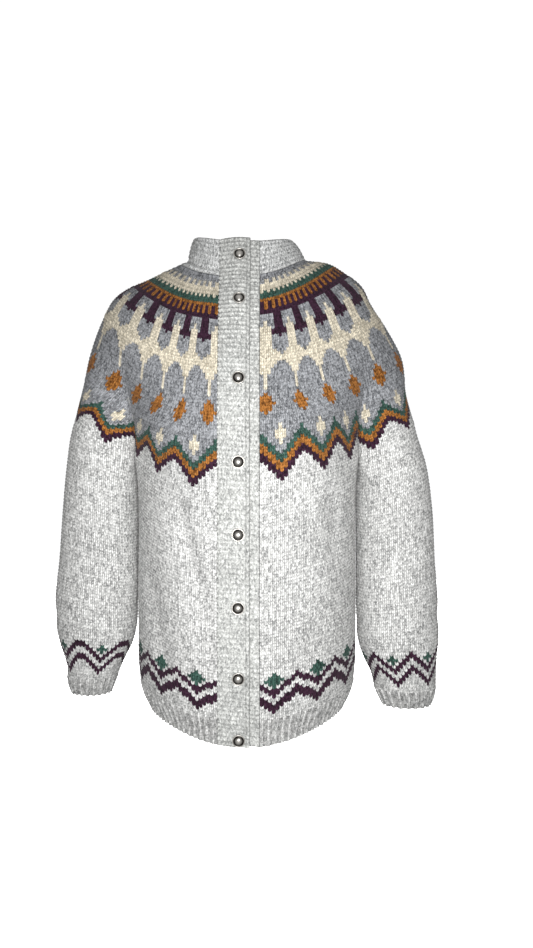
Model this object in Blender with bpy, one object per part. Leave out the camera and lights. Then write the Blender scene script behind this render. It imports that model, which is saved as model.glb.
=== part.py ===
"""A hand-knit round-yoke wool cardigan, buttoned all the way up and filled out as it is worn, with nobody in it.

Metres, +Z up.  The origin is the middle of the neck opening, level with the base of the neckband at the sides.
The front faces -Y.  Left and right are the wearer's, so the left sleeve is on +X.

Every knitted piece is a closed wall.  The torso and the sleeves are tubes whose sections come from short tables,
the yoke climbs from their joined upper edge to the neck in rings, and all of them are counted in stitches round.
"""
import math

import bmesh
import bpy
import numpy as np

MM = 0.001

SEAM_GAP = 0.3 * MM
WALL = 3.0 * MM
YOKE_WALL = 3.5 * MM

# The fronts end where the bands are picked up, these distances to the left and right of the middle.
LEFT_FRONT_EDGE = 20 * MM
RIGHT_FRONT_EDGE = 37 * MM

# Stitches round the body and round the yoke at the places where they divide, from the left front's edge
# by way of the back to the right front's edge.
BODY_MARKS = (0, 36, 46, 124, 134, 168)
YOKE_MARKS = (0, 36, 88, 166, 218, 252)
SLEEVE_STITCHES = 52
UNDERARM_STITCHES = 10

# The underarm seam is grafted between these two points, where the body and a sleeve stand back to back.
UNDERARM_OUT = 164.0 * MM
UNDERARM_REACH = 28 * MM
UNDERARM_HEIGHT = -286 * MM
UNDERARM_TURNS = tuple(math.radians(a) for a in (79.6, 100.8, 259.2, 280.4))
GRAFT_STITCHES = 4
GRAFT_DROP = 35 * MM

# The join of body, sleeves and yoke lies on one bowl: lower in front, higher on the sleeves.  The right front,
# which carries the buttonhole band, hangs a little lower than the left one.
JOIN_MIDDLE = -321 * MM
JOIN_TILT = 0.0623
JOIN_RISE = 1.35
FRONT_SLANT = 0.8

HEM_SIDE = -658.5 * MM
HEM_FRONT_SAG = 25 * MM
HEM_SAG_SHARPNESS = 6
HEM_RIB_HEIGHT = 38 * MM
RIB_RELIEF = 1.1 * MM
HEM_RIBS = 82
CUFF_RIBS = 20

NECKBAND_HEIGHT = 44 * MM
NECKBAND_RIDGES = 7
NECKBAND_INNER_ROWS = 4
GARTER_RELIEF = 0.8 * MM
BAND_RIDGE_PITCH = 6.6 * MM
BAND_WALL = 3.4 * MM

BUTTON_SIDES = 12
BUTTON_STANDOFF = 4 * MM
BUTTON_ACROSS = -8.5 * MM
BUTTON_PLACES = 281
BUTTON_HEIGHTS = tuple(h * MM for h in (-9, -74, -186, -298, -393, -490, -586, -673))


def table(names, *rows):
    """A short table in millimetres, read as columns by name."""
    return dict(zip(names.split(), np.array(rows, float).T * MM))


TORSO = table(
    "height half_width front back",
    (-684, 142.0, 147.0, 136),
    (-658, 144.5, 149.5, 139),
    (-645, 151.5, 153.5, 143),
    (-630, 157.0, 157.5, 147),
    (-600, 161.0, 161.0, 149),
    (-540, 162.0, 163.0, 151),
    (-460, 161.5, 162.0, 151),
    (-380, 161.0, 159.0, 150),
    (-300, 161.8, 155.0, 149),
    (-230, 160.0, 151.0, 146),
)

# inner and outer are a sleeve's two sides, measured from the garment's middle.
LEFT_SLEEVE = table(
    "height inner outer half_depth forward",
    (-661, 203.0, 275.0, 33.5, 8),
    (-650, 197.5, 279.5, 37.5, 8),
    (-635, 191.0, 282.0, 41.0, 8),
    (-613, 185.5, 282.5, 45.5, 7),
    (-591, 175.0, 283.5, 51.0, 6),
    (-567, 167.0, 286.0, 54.5, 5),
    (-531, 164.5, 286.5, 56.0, 4),
    (-447, 163.5, 280.5, 57.5, 2),
    (-363, 163.0, 276.0, 58.5, 0),
    (-303, 162.8, 267.0, 60.0, 0),
    (-255, 163.0, 252.0, 60.0, 0),
    (-220, 163.0, 243.0, 60.0, 0),
)
RIGHT_SLEEVE = table(
    "height inner outer half_depth forward",
    (-643, 204.0, 262.0, 28.5, 8),
    (-632, 199.5, 266.5, 32.0, 8),
    (-617, 194.0, 268.5, 35.5, 8),
    (-603, 188.5, 268.5, 40.0, 8),
    (-591, 183.0, 271.5, 44.5, 7),
    (-567, 171.5, 279.5, 51.5, 6),
    (-543, 166.0, 285.0, 55.0, 5),
    (-507, 164.5, 286.5, 56.5, 4),
    (-447, 163.5, 280.5, 57.5, 2),
    (-363, 163.0, 274.5, 58.5, 0),
    (-303, 162.8, 268.5, 60.0, 0),
    (-255, 163.0, 261.0, 60.0, 0),
    (-220, 163.0, 250.0, 60.0, 0),
)
LEFT_CUFF_END = -661 * MM
RIGHT_CUFF_END = -643 * MM
CUFF_HEIGHT = 26 * MM

# Rings of the yoke by the distance climbed from the join: how far out and how high each side of a ring is.
YOKE = table(
    "climb left_out left_up right_out right_up front_out front_up back_out back_up",
    (0, 246, -231, 252, -231, 155.0, -329, 150, -310),
    (45, 235, -192, 241, -186, 153.5, -284, 149, -262),
    (90, 230, -146, 232, -140, 151.0, -239, 145, -215),
    (135, 209, -105, 217, -96, 145.5, -195, 137, -165),
    (180, 184, -66, 196, -57, 137.0, -151, 124, -112),
    (210, 170, -39, 175, -42, 129.0, -123, 114, -84),
    (240, 147, -21, 147, -30, 118.0, -95, 102, -54),
    (270, 121, -6, 118, -16, 106.5, -67, 91, -24),
    (300, 87, -2, 87, -3, 95.0, -39, 80, 5),
)
NECKBAND = table(
    "climb left_out left_up right_out right_up front_out front_up back_out back_up",
    (300, 87, -2, 87, -3, 95.0, -39, 80, 5),
    (315, 81, 10, 85, 10, 90.5, -23, 76, 17),
    (330, 74, 21, 82, 22, 85.0, -5, 71, 28),
    (344, 66, 28, 78, 31, 80.0, 12, 67, 37),
)
YOKE_CLIMB = 300 * MM
CREASE_CLIMB = 140 * MM

# Soft folds: a trough runs from (around, height) to (to_around, to_height), depth deep in its middle.
# around is measured on the torso from the front's middle, to the left, and on a sleeve from its inner side,
# by way of the front.
TORSO_FOLDS = table(
    "around height to_around to_height depth width",
    (-108, -322, -44, -524, 6.5, 17),
    (-84, -350, -20, -545, -2.5, 16),
    (-168, -430, -112, -612, 4.5, 19),
    (138, -335, 146, -440, 3.5, 16),
    (120, -520, 60, -610, 3.0, 20),
    (430, -345, 468, -540, 5.5, 19),
    (-392, -340, -452, -560, 6.0, 19),
    (330, -430, 292, -600, 4.0, 18),
    (-300, -460, -268, -600, 3.5, 18),
)
SLEEVE_FOLDS = table(
    "around height to_around to_height depth width",
    (48, -352, 130, -410, 3.2, 15),
    (60, -452, 150, -480, 2.6, 14),
    (150, -520, 240, -548, 3.0, 13),
    (60, -556, 130, -575, 3.0, 13),
    (225, -360, 300, -420, 3.2, 15),
    (215, -470, 300, -505, 2.8, 14),
)
TORSO_MEAN_RADIUS = 160 * MM
SLEEVE_MEAN_RADIUS = 57 * MM


def along(columns, name, at, key="height"):
    """A table's column read at any place, on a smooth curve through its rows."""
    order = np.argsort(columns[key])
    x, y = columns[key][order], columns[name][order]
    slope = np.gradient(y, x)
    i = np.clip(np.searchsorted(x, at) - 1, 0, len(x) - 2)
    step = x[i + 1] - x[i]
    t = np.clip((at - x[i]) / step, 0, 1)
    rise = 3 * t**2 - 2 * t**3
    bend = step * (slope[i] * (t - 2 * t**2 + t**3) + slope[i + 1] * (t**3 - t**2))
    return y[i] + (y[i + 1] - y[i]) * rise + bend


def fold_depth(folds, around, height):
    """How far the soft folds push the cloth in at a place."""
    total = np.zeros(np.broadcast(around, height).shape)
    for a, h, to_a, to_h, depth, width in zip(*folds.values()):
        run = np.array((to_a - a, to_h - h))
        length = np.hypot(*run)
        share = ((around - a) * run[0] + (height - h) * run[1]) / length**2
        beside = ((around - a) * run[1] - (height - h) * run[0]) / length
        taper = 1 - np.clip(np.abs(2 * share - 1), 0, 1) ** 3
        total = total + depth * taper * np.exp(-((beside / width) ** 2))
    return total


def join_height(x, y):
    """Height of the join between the body or a sleeve and the yoke."""
    on_front = np.clip(1 - (x / UNDERARM_OUT) ** 2, 0, None) * np.clip(-y, 0, None)
    return JOIN_MIDDLE + JOIN_TILT * y + JOIN_RISE * x**2 + FRONT_SLANT * x * on_front


def at_join(point, stitch):
    """Where a tube, given as point(stitch, height), reaches the join."""
    height = np.full(np.shape(stitch), UNDERARM_HEIGHT)
    for _ in range(5):
        x, y = point(stitch, height)
        height = join_height(x, y)
    return np.stack((x, y, height), -1)


def graft_pull(stitches_away, height):
    """Share of the way that the cloth beside an underarm corner is drawn to the grafted seam."""
    drop = np.clip((UNDERARM_HEIGHT - height) / GRAFT_DROP, 0, None)
    return np.exp(-((stitches_away / GRAFT_STITCHES) ** 2)) * np.exp(-(drop**2))


def torso_turn(stitch, half_width):
    """Angle round the torso from the front's middle, by way of the left side."""
    first = np.arcsin(LEFT_FRONT_EDGE / half_width)
    last = 2 * math.pi - np.arcsin(RIGHT_FRONT_EDGE / half_width)
    from_left = stitch / BODY_MARKS[1]
    from_right = (BODY_MARKS[5] - stitch) / (BODY_MARKS[5] - BODY_MARKS[4])
    left_front = first + (UNDERARM_TURNS[0] - first) * from_left
    right_front = last + (UNDERARM_TURNS[3] - last) * from_right
    middle = np.interp(stitch, BODY_MARKS[1:5], UNDERARM_TURNS)
    return np.where(from_left < 1, left_front, np.where(from_right < 1, right_front, middle))


def torso_point(stitch, height):
    """Plan position of a point of the body or the hem rib."""
    half_width = along(TORSO, "half_width", height)
    turn = torso_turn(stitch, half_width)
    depth = np.where(np.cos(turn) > 0, along(TORSO, "front", height), along(TORSO, "back", height))
    around = TORSO_MEAN_RADIUS * (turn - 2 * math.pi * (turn > math.pi))
    inward = fold_depth(TORSO_FOLDS, around, height)
    x = (half_width - inward) * np.sin(turn)
    y = -(depth - inward) * np.cos(turn)
    away = np.min([np.abs(stitch - mark) for mark in BODY_MARKS[1:5]], axis=0)
    side = np.sign(np.sin(turn))
    x = x + graft_pull(away, height) * (side * (UNDERARM_OUT - SEAM_GAP) - x)
    return x, y


def sleeve_point(sections, side, stitch, height):
    """Plan position of a point of a sleeve or cuff.  side is 1 on the left, -1 on the right."""
    inner = along(sections, "inner", height)
    outer = along(sections, "outer", height)
    half_depth = along(sections, "half_depth", height)
    forward = along(sections, "forward", height)
    corner = math.asin(UNDERARM_REACH / sections["half_depth"][-1])
    count = stitch if side > 0 else SLEEVE_STITCHES - stitch
    marks = (-UNDERARM_STITCHES, 0, SLEEVE_STITCHES, SLEEVE_STITCHES + UNDERARM_STITCHES)
    turn = np.interp(count, marks, (-corner, corner, 2 * math.pi - corner, 2 * math.pi + corner))
    inward = fold_depth(SLEEVE_FOLDS, SLEEVE_MEAN_RADIUS * np.mod(turn, 2 * math.pi), height)
    inward = inward * (1 - np.cos(turn)) / 2
    x = (inner + outer) / 2 - ((outer - inner) / 2 - inward) * np.cos(turn)
    y = -forward - (half_depth - inward) * np.sin(turn)
    away = np.min([np.abs(count - mark) for mark in marks], axis=0)
    x = x + graft_pull(away, height) * (UNDERARM_OUT + SEAM_GAP - x)
    return side * x, y


def left_sleeve_point(stitch, height):
    return sleeve_point(LEFT_SLEEVE, 1, stitch, height)


def right_sleeve_point(stitch, height):
    return sleeve_point(RIGHT_SLEEVE, -1, stitch, height)


def tube_grid(point, stitches, levels, rib_top, rib_end):
    """Points of a tube, rows by columns.  Level 0 is the join, 1 the rib's top and 2 its end."""
    start = at_join(point, stitches)[:, 2] - SEAM_GAP
    levels = np.asarray(levels, float)[:, None]
    height = np.where(
        levels < 1, start + (rib_top - start) * levels, rib_top + (rib_end - rib_top) * (levels - 1)
    )
    x, y = point(np.broadcast_to(stitches, height.shape), height)
    return np.stack((x, y, height), -1)


def torso_grid(stitches, levels):
    """The body from level 0 to 1 and the hem rib from 1 to 2.  The hem sags in front."""
    turn = torso_turn(stitches, TORSO["half_width"][1])
    end = HEM_SIDE - HEM_FRONT_SAG * ((1 + np.cos(turn)) / 2) ** HEM_SAG_SHARPNESS
    return tube_grid(torso_point, stitches, levels, end + HEM_RIB_HEIGHT, end)


def yoke_base(stitch):
    """The yoke's lower edge, which follows the body and the sleeves round the join."""
    base = np.empty(np.shape(stitch) + (3,))
    start, left, back, right, front, end = YOKE_MARKS
    runs = (
        (start, left, torso_point, BODY_MARKS[0]),
        (left, back, left_sleeve_point, 0),
        (right, front, right_sleeve_point, 0),
        (back, right, torso_point, BODY_MARKS[2]),
        (front, end, torso_point, BODY_MARKS[4]),
    )
    for first, last, point, count in runs:
        here = (stitch >= first) & (stitch <= last)
        base[here] = at_join(point, stitch[here] - first + count)
    return base


def yoke_ring(stitch, climb):
    """A smooth oval ring of the yoke or the neckband, its stitches evenly spaced."""
    rings = YOKE if climb <= YOKE_CLIMB else NECKBAND
    size = {name: along(rings, name, climb, "climb") for name in rings}

    def oval(turn):
        side = np.where(np.sin(turn) > 0, size["left_out"], size["right_out"])
        side_up = np.where(np.sin(turn) > 0, size["left_up"], size["right_up"])
        end = np.where(np.cos(turn) > 0, size["front_out"], size["back_out"])
        end_up = np.where(np.cos(turn) > 0, size["front_up"], size["back_up"])
        up = side_up * np.sin(turn) ** 2 + end_up * np.cos(turn) ** 2
        return np.stack((side * np.sin(turn), -end * np.cos(turn), up), -1)

    first = math.asin(LEFT_FRONT_EDGE / size["left_out"])
    last = 2 * math.pi - math.asin(RIGHT_FRONT_EDGE / size["right_out"])
    turns = np.linspace(first, last, 361)
    steps = np.linalg.norm(np.diff(oval(turns), axis=0), axis=1)
    length = np.concatenate(([0], np.cumsum(steps)))
    return oval(np.interp(stitch / YOKE_MARKS[5] * length[-1], length, turns))


def collar_grid(stitches, climbs):
    """The yoke, and past its climb the neckband.  Rows run down, so the highest climb comes first."""
    drawn_in = yoke_base(stitches) - yoke_ring(stitches, 0)
    rows = []
    for climb in climbs:
        share = np.clip(1 - climb / CREASE_CLIMB, 0, 1)
        rows.append(yoke_ring(stitches, climb) + drawn_in * share**2 * (3 - 2 * share))
    return np.array(rows)


def outward(grid, closed):
    """Outward unit normals of a grid whose rows run down and whose columns run anticlockwise from above."""
    if closed:
        across = np.roll(grid, -1, axis=1) - np.roll(grid, 1, axis=1)
    else:
        across = np.gradient(grid, axis=1)
    normal = np.cross(np.gradient(grid, axis=0), across)
    return normal / np.linalg.norm(normal, axis=2, keepdims=True)


def keep_front_edges(wall):
    """Squares a wall's inner points to its outer ones at the two front edges, so that the bands fit beside them."""
    outer, inner = wall
    inner[:, 0, 0] = outer[:, 0, 0]
    inner[:, -1, 0] = outer[:, -1, 0]
    return outer, inner


def make_object(name, verts, faces, color, roughness=0.9, metallic=0.0):
    """A mesh object with faces turned out and a material of its own."""
    mesh = bpy.data.meshes.new(name)
    mesh.from_pydata([tuple(v) for v in verts], [], faces)
    work = bmesh.new()
    work.from_mesh(mesh)
    bmesh.ops.recalc_face_normals(work, faces=work.faces)
    work.to_mesh(mesh)
    work.free()
    material = bpy.data.materials.new(name)
    material.use_nodes = True
    shader = material.node_tree.nodes["Principled BSDF"]
    shader.inputs["Base Color"].default_value = (*color, 1)
    shader.inputs["Roughness"].default_value = roughness
    shader.inputs["Metallic"].default_value = metallic
    mesh.materials.append(material)
    item = bpy.data.objects.new(name, mesh)
    bpy.context.scene.collection.objects.link(item)
    return item


def wall_object(name, outer, inner, closed, color):
    """A closed wall from outer and inner points.  The inner grid may have fewer rows than the outer one."""
    loops = np.concatenate((outer, inner[::-1]), axis=0).transpose(1, 0, 2)
    columns, count, _ = loops.shape
    faces = []
    for column in range(columns if closed else columns - 1):
        here, there = column * count, (column + 1) % columns * count
        for i in range(count):
            j = (i + 1) % count
            faces.append((here + i, there + i, there + j, here + j))
    if not closed:
        rungs = len(outer) == len(inner)
        for start in (0, (columns - 1) * count):
            if rungs:
                last = start + count - 1
                for i in range(count // 2 - 1):
                    faces.append((start + i, start + i + 1, last - i - 1, last - i))
            else:
                faces.append(tuple(range(start, start + count)))
    return make_object(name, loops.reshape(-1, 3), faces, color)


def columns_between(marks, counts):
    """Stitch places of a grid's columns: each run between two marks is cut into its count of columns."""
    runs = [np.linspace(a, b, n, endpoint=False) for a, b, n in zip(marks, marks[1:], counts)]
    return np.append(np.concatenate(runs), marks[-1])


GREY_WOOL = (0.55, 0.55, 0.53)
RIB_WOOL = (0.58, 0.58, 0.56)
YOKE_WOOL = (0.27, 0.28, 0.30)
BAND_WOOL = (0.62, 0.62, 0.60)
PEWTER = (0.40, 0.39, 0.38)

TORSO_COLUMNS = (10, 4, 22, 4, 10)
YOKE_COLUMNS = (10, 18, 22, 18, 10)
SLEEVE_COLUMNS = (18, 4)
BODY_ROWS = 10
SLEEVE_ROWS = 11
YOKE_CLIMBS = tuple(c * MM for c in (300, 272, 244, 214, 182, 148, 114, 82, 52, 24, 0))


def seat_on_join(points, gap):
    """Sets a row of points on the join, gap below it."""
    points[:, 2] = join_height(points[:, 0], points[:, 1]) - gap


def build_body():
    """The body: both fronts and the back in one piece, open in front and round the underarms."""
    stitches = columns_between(BODY_MARKS, TORSO_COLUMNS)
    grid = torso_grid(stitches, np.append(np.linspace(0, 1, BODY_ROWS + 1), 1.3))
    outer, inner = keep_front_edges((grid, grid - WALL * outward(grid, closed=False)))
    seat_on_join(inner[0], SEAM_GAP)
    wall_object("body", outer[:-1], inner[:-1], False, GREY_WOOL)


def build_hem_rib():
    """The hem's rib: every second stitch stands up on the outside."""
    stitches = np.linspace(BODY_MARKS[0], BODY_MARKS[5], 2 * HEM_RIBS + 1)
    grid = torso_grid(stitches, (0.9, 1, 1.5, 2))
    normal = outward(grid, closed=False)
    relief = RIB_RELIEF * np.where(np.arange(len(stitches)) % 2, 1, -1)[:, None]
    outer, inner = keep_front_edges((grid + relief * normal, grid - WALL * normal))
    outer[:, (0, -1), 0] = grid[:, (0, -1), 0]
    inner[:, (0, -1), 0] = grid[:, (0, -1), 0]
    for row in (outer[1], inner[1]):
        row[:, 2] -= SEAM_GAP
    wall_object("hem_rib", outer[1:], inner[(1, 3), :, :], False, RIB_WOOL)


def build_sleeve(name, point, cuff_end):
    """A sleeve, grafted to the body at the underarm, and its ribbed cuff."""
    cuff_top = cuff_end + CUFF_HEIGHT
    marks = (0, SLEEVE_STITCHES, SLEEVE_STITCHES + UNDERARM_STITCHES)
    stitches = columns_between(marks, SLEEVE_COLUMNS)[:-1]
    grid = tube_grid(point, stitches, np.append(np.linspace(0, 1, SLEEVE_ROWS + 1), 1.3), cuff_top, cuff_end)
    inner = grid - WALL * outward(grid, closed=True)
    seat_on_join(inner[0], SEAM_GAP)
    wall_object("sleeve_" + name, grid[:-1], inner[:-1], True, GREY_WOOL)

    stitches = np.linspace(0, marks[2], 2 * CUFF_RIBS, endpoint=False)
    grid = tube_grid(point, stitches, (0.9, 1, 1.5, 2), cuff_top, cuff_end)
    normal = outward(grid, closed=True)
    relief = RIB_RELIEF * np.where(np.arange(len(stitches)) % 2, 1, -1)[:, None]
    outer, inner = grid + relief * normal, grid - WALL * normal
    for row in (outer[1], inner[1]):
        row[:, 2] -= SEAM_GAP
    wall_object("cuff_" + name, outer[1:], inner[(1, 3), :, :], True, RIB_WOOL)


def build_yoke():
    """The round yoke, from the join up to the neck."""
    stitches = columns_between(YOKE_MARKS, YOKE_COLUMNS)
    grid = collar_grid(stitches, (YOKE_CLIMB + 8 * MM,) + YOKE_CLIMBS)
    outer, inner = keep_front_edges((grid, grid - YOKE_WALL * outward(grid, closed=False)))
    seat_on_join(inner[-1], 0)
    wall_object("yoke", outer[1:], inner[1:], False, YOKE_WOOL)


def build_neckband():
    """The stand-up neckband: its ridges run round, one over the other."""
    stitches = columns_between(YOKE_MARKS, tuple(n // 2 for n in YOKE_COLUMNS))
    ridge_rows = 2 * NECKBAND_RIDGES
    climbs = YOKE_CLIMB + NECKBAND_HEIGHT * np.arange(ridge_rows, -1, -1) / ridge_rows
    grid = collar_grid(stitches, tuple(climbs) + (YOKE_CLIMB - 8 * MM,))
    normal = outward(grid, closed=False)
    relief = GARTER_RELIEF * np.where(np.arange(ridge_rows + 2) % 2, 1, -1)[:, None, None]
    relief[-2:] = 0
    outer, inner = keep_front_edges((grid + relief * normal, grid - YOKE_WALL * normal))
    outer[:, (0, -1), 0] = grid[:, (0, -1), 0]
    inner[:, (0, -1), 0] = grid[:, (0, -1), 0]
    for wall in (outer, inner):
        wall[-2, :, 2] += 2 * SEAM_GAP
    plain_rows = np.linspace(0, ridge_rows, NECKBAND_INNER_ROWS).astype(int)
    wall_object("neckband", outer[:-1], inner[plain_rows], False, BAND_WOOL)


def front_edges():
    """The left and right front edges from the hem up to the neckband's top, as two lines of points."""
    torso = torso_grid(np.array((BODY_MARKS[0], BODY_MARKS[5])), np.linspace(2, 0, 41))
    climbs = np.linspace(0, YOKE_CLIMB + NECKBAND_HEIGHT, 44)
    collar = collar_grid(np.array((YOKE_MARKS[0], YOKE_MARKS[5])), climbs)
    lines = np.concatenate((torso, collar[1:]))
    return lines[:, 0], lines[:, 1]


def even_line(line, count):
    """A line's points, evenly spaced along it."""
    length = np.concatenate(([0], np.cumsum(np.linalg.norm(np.diff(line, axis=0), axis=1))))
    places = np.linspace(0, length[-1], count)
    return np.stack([np.interp(places, length, line[:, axis]) for axis in range(3)], -1)


class FrontPanel:
    """The strip between the two front edges.  Bands are made from its points, moved out."""

    def __init__(self, rows):
        left, right = front_edges()
        self.left, self.right = even_line(left, rows), even_line(right, rows)
        middle = (self.left + self.right) / 2
        run = np.gradient(middle, axis=0)
        normal = np.stack((np.zeros(rows), -run[:, 2], run[:, 1]), -1)
        self.normal = normal / np.linalg.norm(normal, axis=1, keepdims=True)
        to_neck = np.clip(1 + middle[:, 2] / -JOIN_MIDDLE, 0, 1)
        self.crown = (2.4 + 3.2 * to_neck**2) * MM

    def line(self, across, out):
        """The line at a distance across from the middle, moved out by a distance or one for each row."""
        share = (across + RIGHT_FRONT_EDGE) / (LEFT_FRONT_EDGE + RIGHT_FRONT_EDGE)
        rise = self.crown * 4 * share * (1 - share) + out
        return self.right + (self.left - self.right) * share + self.normal * rise[:, None]


# Lines along the bands: how far across from the middle, and how far out from the fronts' surface.
BUTTONHOLE_BAND = table("across out", (-36.7, 0.2), (-14, 2.2), (6.5, 2.4))
BUTTON_BAND = table("across out", (-18, -4.5), (8.5, -3.0), (19.7, 0.0))
# A button's outline from its back over the rim to the top of its dome.
BUTTON = table("radius rise", (8.4, 0), (8.8, 1.4), (7.6, 2.1), (6.4, 1.4), (3.6, 3.0), (0, 3.6))


def build_band(name, profile, inner_lines):
    """A band of ridged knitting along a front, from the hem to the neckband's top, plain on its inside."""
    left, _ = front_edges()
    length = np.linalg.norm(np.diff(left, axis=0), axis=1).sum()
    rows = 2 * round(length / BAND_RIDGE_PITCH) + 1
    panel = FrontPanel(rows)
    ridges = GARTER_RELIEF * np.where(np.arange(rows) % 2, 1, -1)
    lines = list(zip(profile["across"], profile["out"]))
    outer = [panel.line(across, out + ridges) for across, out in lines]
    inner = [panel.line(lines[i][0], np.full(rows, lines[i][1] - BAND_WALL)) for i in inner_lines]
    loops = np.array(outer + inner).transpose(1, 0, 2)
    count = loops.shape[1]
    faces = [
        (r * count + i, (r + 1) * count + i, (r + 1) * count + (i + 1) % count, r * count + (i + 1) % count)
        for r in range(rows - 1)
        for i in range(count)
    ]
    faces += [tuple(range(start, start + count)) for start in (0, (rows - 1) * count)]
    make_object(name, loops.reshape(-1, 3), faces, BAND_WOOL)


def build_button(name, place, turn):
    """A domed metal button with a raised rim, its back on the band."""
    verts = [(0, 0, 0), (0, 0, BUTTON["rise"][-1])]
    faces = []
    rings = list(zip(BUTTON["radius"], BUTTON["rise"]))[:-1]
    for k in range(BUTTON_SIDES):
        angle = 2 * math.pi * k / BUTTON_SIDES
        verts += [(r * math.cos(angle), r * math.sin(angle), z) for r, z in rings]
    for k in range(BUTTON_SIDES):
        here, there = 2 + k * len(rings), 2 + (k + 1) % BUTTON_SIDES * len(rings)
        faces.append((0, here, there))
        faces += [(here + i, here + i + 1, there + i + 1, there + i) for i in range(len(rings) - 1)]
        faces.append((here + len(rings) - 1, 1, there + len(rings) - 1))
    button = make_object(name, verts, faces, PEWTER, roughness=0.35, metallic=1.0)
    button.location = place
    button.rotation_euler = (turn, 0, 0)


def build_buttons():
    """Eight buttons down the buttonhole band, each facing the way the front does there."""
    panel = FrontPanel(BUTTON_PLACES)
    surface = panel.line(BUTTON_ACROSS, np.full(BUTTON_PLACES, BUTTON_STANDOFF))
    for number, height in enumerate(BUTTON_HEIGHTS, 1):
        row = int(np.argmin(np.abs(surface[:, 2] - height)))
        forward, up = panel.normal[row][1:]
        build_button(f"button_{number}", surface[row], math.atan2(-forward, up))


def build():
    for item in list(bpy.data.objects):
        bpy.data.objects.remove(item, do_unlink=True)
    build_body()
    build_hem_rib()
    build_sleeve("left", left_sleeve_point, LEFT_CUFF_END)
    build_sleeve("right", right_sleeve_point, RIGHT_CUFF_END)
    build_yoke()
    build_neckband()
    build_band("buttonhole_band", BUTTONHOLE_BAND, (2, 1, 0))
    build_band("button_band", BUTTON_BAND, (2, 0))
    build_buttons()


build()
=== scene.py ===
"""The looks of a hand-knit round-yoke wool cardigan, stitch by stitch, around the packed CAD frame.

Metres, +Z up, the front faces -Y, left and right are the wearer's.  Every knitted piece is a closed wall whose outer
face has a point grid for its stitches.  A Geometry Nodes tree raises the stitches and gives each its yarn.
"""
import math

import bmesh
import bpy
import numpy as np
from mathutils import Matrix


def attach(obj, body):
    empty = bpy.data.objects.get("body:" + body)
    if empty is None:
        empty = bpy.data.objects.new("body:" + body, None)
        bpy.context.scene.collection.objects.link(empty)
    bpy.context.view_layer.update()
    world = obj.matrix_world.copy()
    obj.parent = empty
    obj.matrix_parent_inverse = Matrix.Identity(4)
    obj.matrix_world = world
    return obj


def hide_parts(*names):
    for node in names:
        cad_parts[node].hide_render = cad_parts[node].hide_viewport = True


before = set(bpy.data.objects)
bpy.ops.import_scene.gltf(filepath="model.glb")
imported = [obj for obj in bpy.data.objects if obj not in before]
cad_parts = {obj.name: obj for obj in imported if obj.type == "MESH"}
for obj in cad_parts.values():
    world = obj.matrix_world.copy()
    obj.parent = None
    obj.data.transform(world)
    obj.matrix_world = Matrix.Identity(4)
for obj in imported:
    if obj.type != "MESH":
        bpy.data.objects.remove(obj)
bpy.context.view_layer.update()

bl_info = {
    "name": "Wool yoke cardigan",
    "version": (1, 0, 0),
    "blender": (4, 5, 0),
    "location": "3D View > Sidebar > Cardigan",
    "description": "Knits a round-yoke wool cardigan around its packed frame",
    "category": "Add Mesh",
}

MM = 0.001

# ---------------------------------------------------------------------------------------------------------------------
# The shape: the same sizes and curves as the CAD solids, read here one stitch at a time.

# Knitted walls meet here; the solids under them stay 0.3 mm apart.
SEAM_GAP = 0.05 * MM
LEFT_FRONT_EDGE = 20 * MM
RIGHT_FRONT_EDGE = 37 * MM

# Stitches at the places where body and yoke divide, from the left front's edge by way of the back.
BODY_MARKS = (0, 36, 46, 124, 134, 168)
YOKE_MARKS = (0, 36, 88, 166, 218, 252)
SLEEVE_STITCHES = 52
UNDERARM_STITCHES = 10

UNDERARM_OUT = 164.0 * MM
UNDERARM_REACH = 28 * MM
UNDERARM_HEIGHT = -286 * MM
UNDERARM_TURNS = tuple(math.radians(a) for a in (79.6, 100.8, 259.2, 280.4))
GRAFT_STITCHES = 4
GRAFT_DROP = 35 * MM

# The join of body, sleeves and yoke lies on one bowl: lower in front, higher on the sleeves.
JOIN_MIDDLE = -321 * MM
JOIN_TILT = 0.0623
JOIN_RISE = 1.35
FRONT_SLANT = 0.8

HEM_SIDE = -658.5 * MM
HEM_FRONT_SAG = 25 * MM
HEM_SAG_SHARPNESS = 6
HEM_RIB_HEIGHT = 38 * MM
LEFT_CUFF_END = -661 * MM
RIGHT_CUFF_END = -643 * MM
CUFF_HEIGHT = 26 * MM

YOKE_CLIMB = 300 * MM
CREASE_CLIMB = 140 * MM
NECKBAND_HEIGHT = 44 * MM
NECKBAND_RIDGES = 7
BAND_RIDGE_PITCH = 6.6 * MM
BAND_WALL = 3.4 * MM
# How far, in mm, the front bulges between its edges low down, and how much more at the neck.
CROWN, NECK_CROWN = 2.4, 3.2

BUTTON_STANDOFF = 4 * MM
BUTTON_ACROSS = -8.5 * MM
BUTTON_PLACES = 281
BUTTON_HEIGHTS = tuple(h * MM for h in (-9, -74, -186, -298, -393, -490, -586, -673))


def table(names, *rows, unit=MM):
    """A short table in millimetres, or in another unit, read as columns by name."""
    return dict(zip(names.split(), np.array(rows, float).T * unit))


TORSO = table(
    "height half_width front back",
    (-684, 142.0, 147.0, 136),
    (-658, 144.5, 149.5, 139),
    (-645, 151.5, 153.5, 143),
    (-630, 157.0, 157.5, 147),
    (-600, 161.0, 161.0, 149),
    (-540, 162.0, 163.0, 151),
    (-460, 161.5, 162.0, 151),
    (-380, 161.0, 159.0, 150),
    (-300, 161.8, 155.0, 149),
    (-230, 160.0, 151.0, 146),
)
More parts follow.
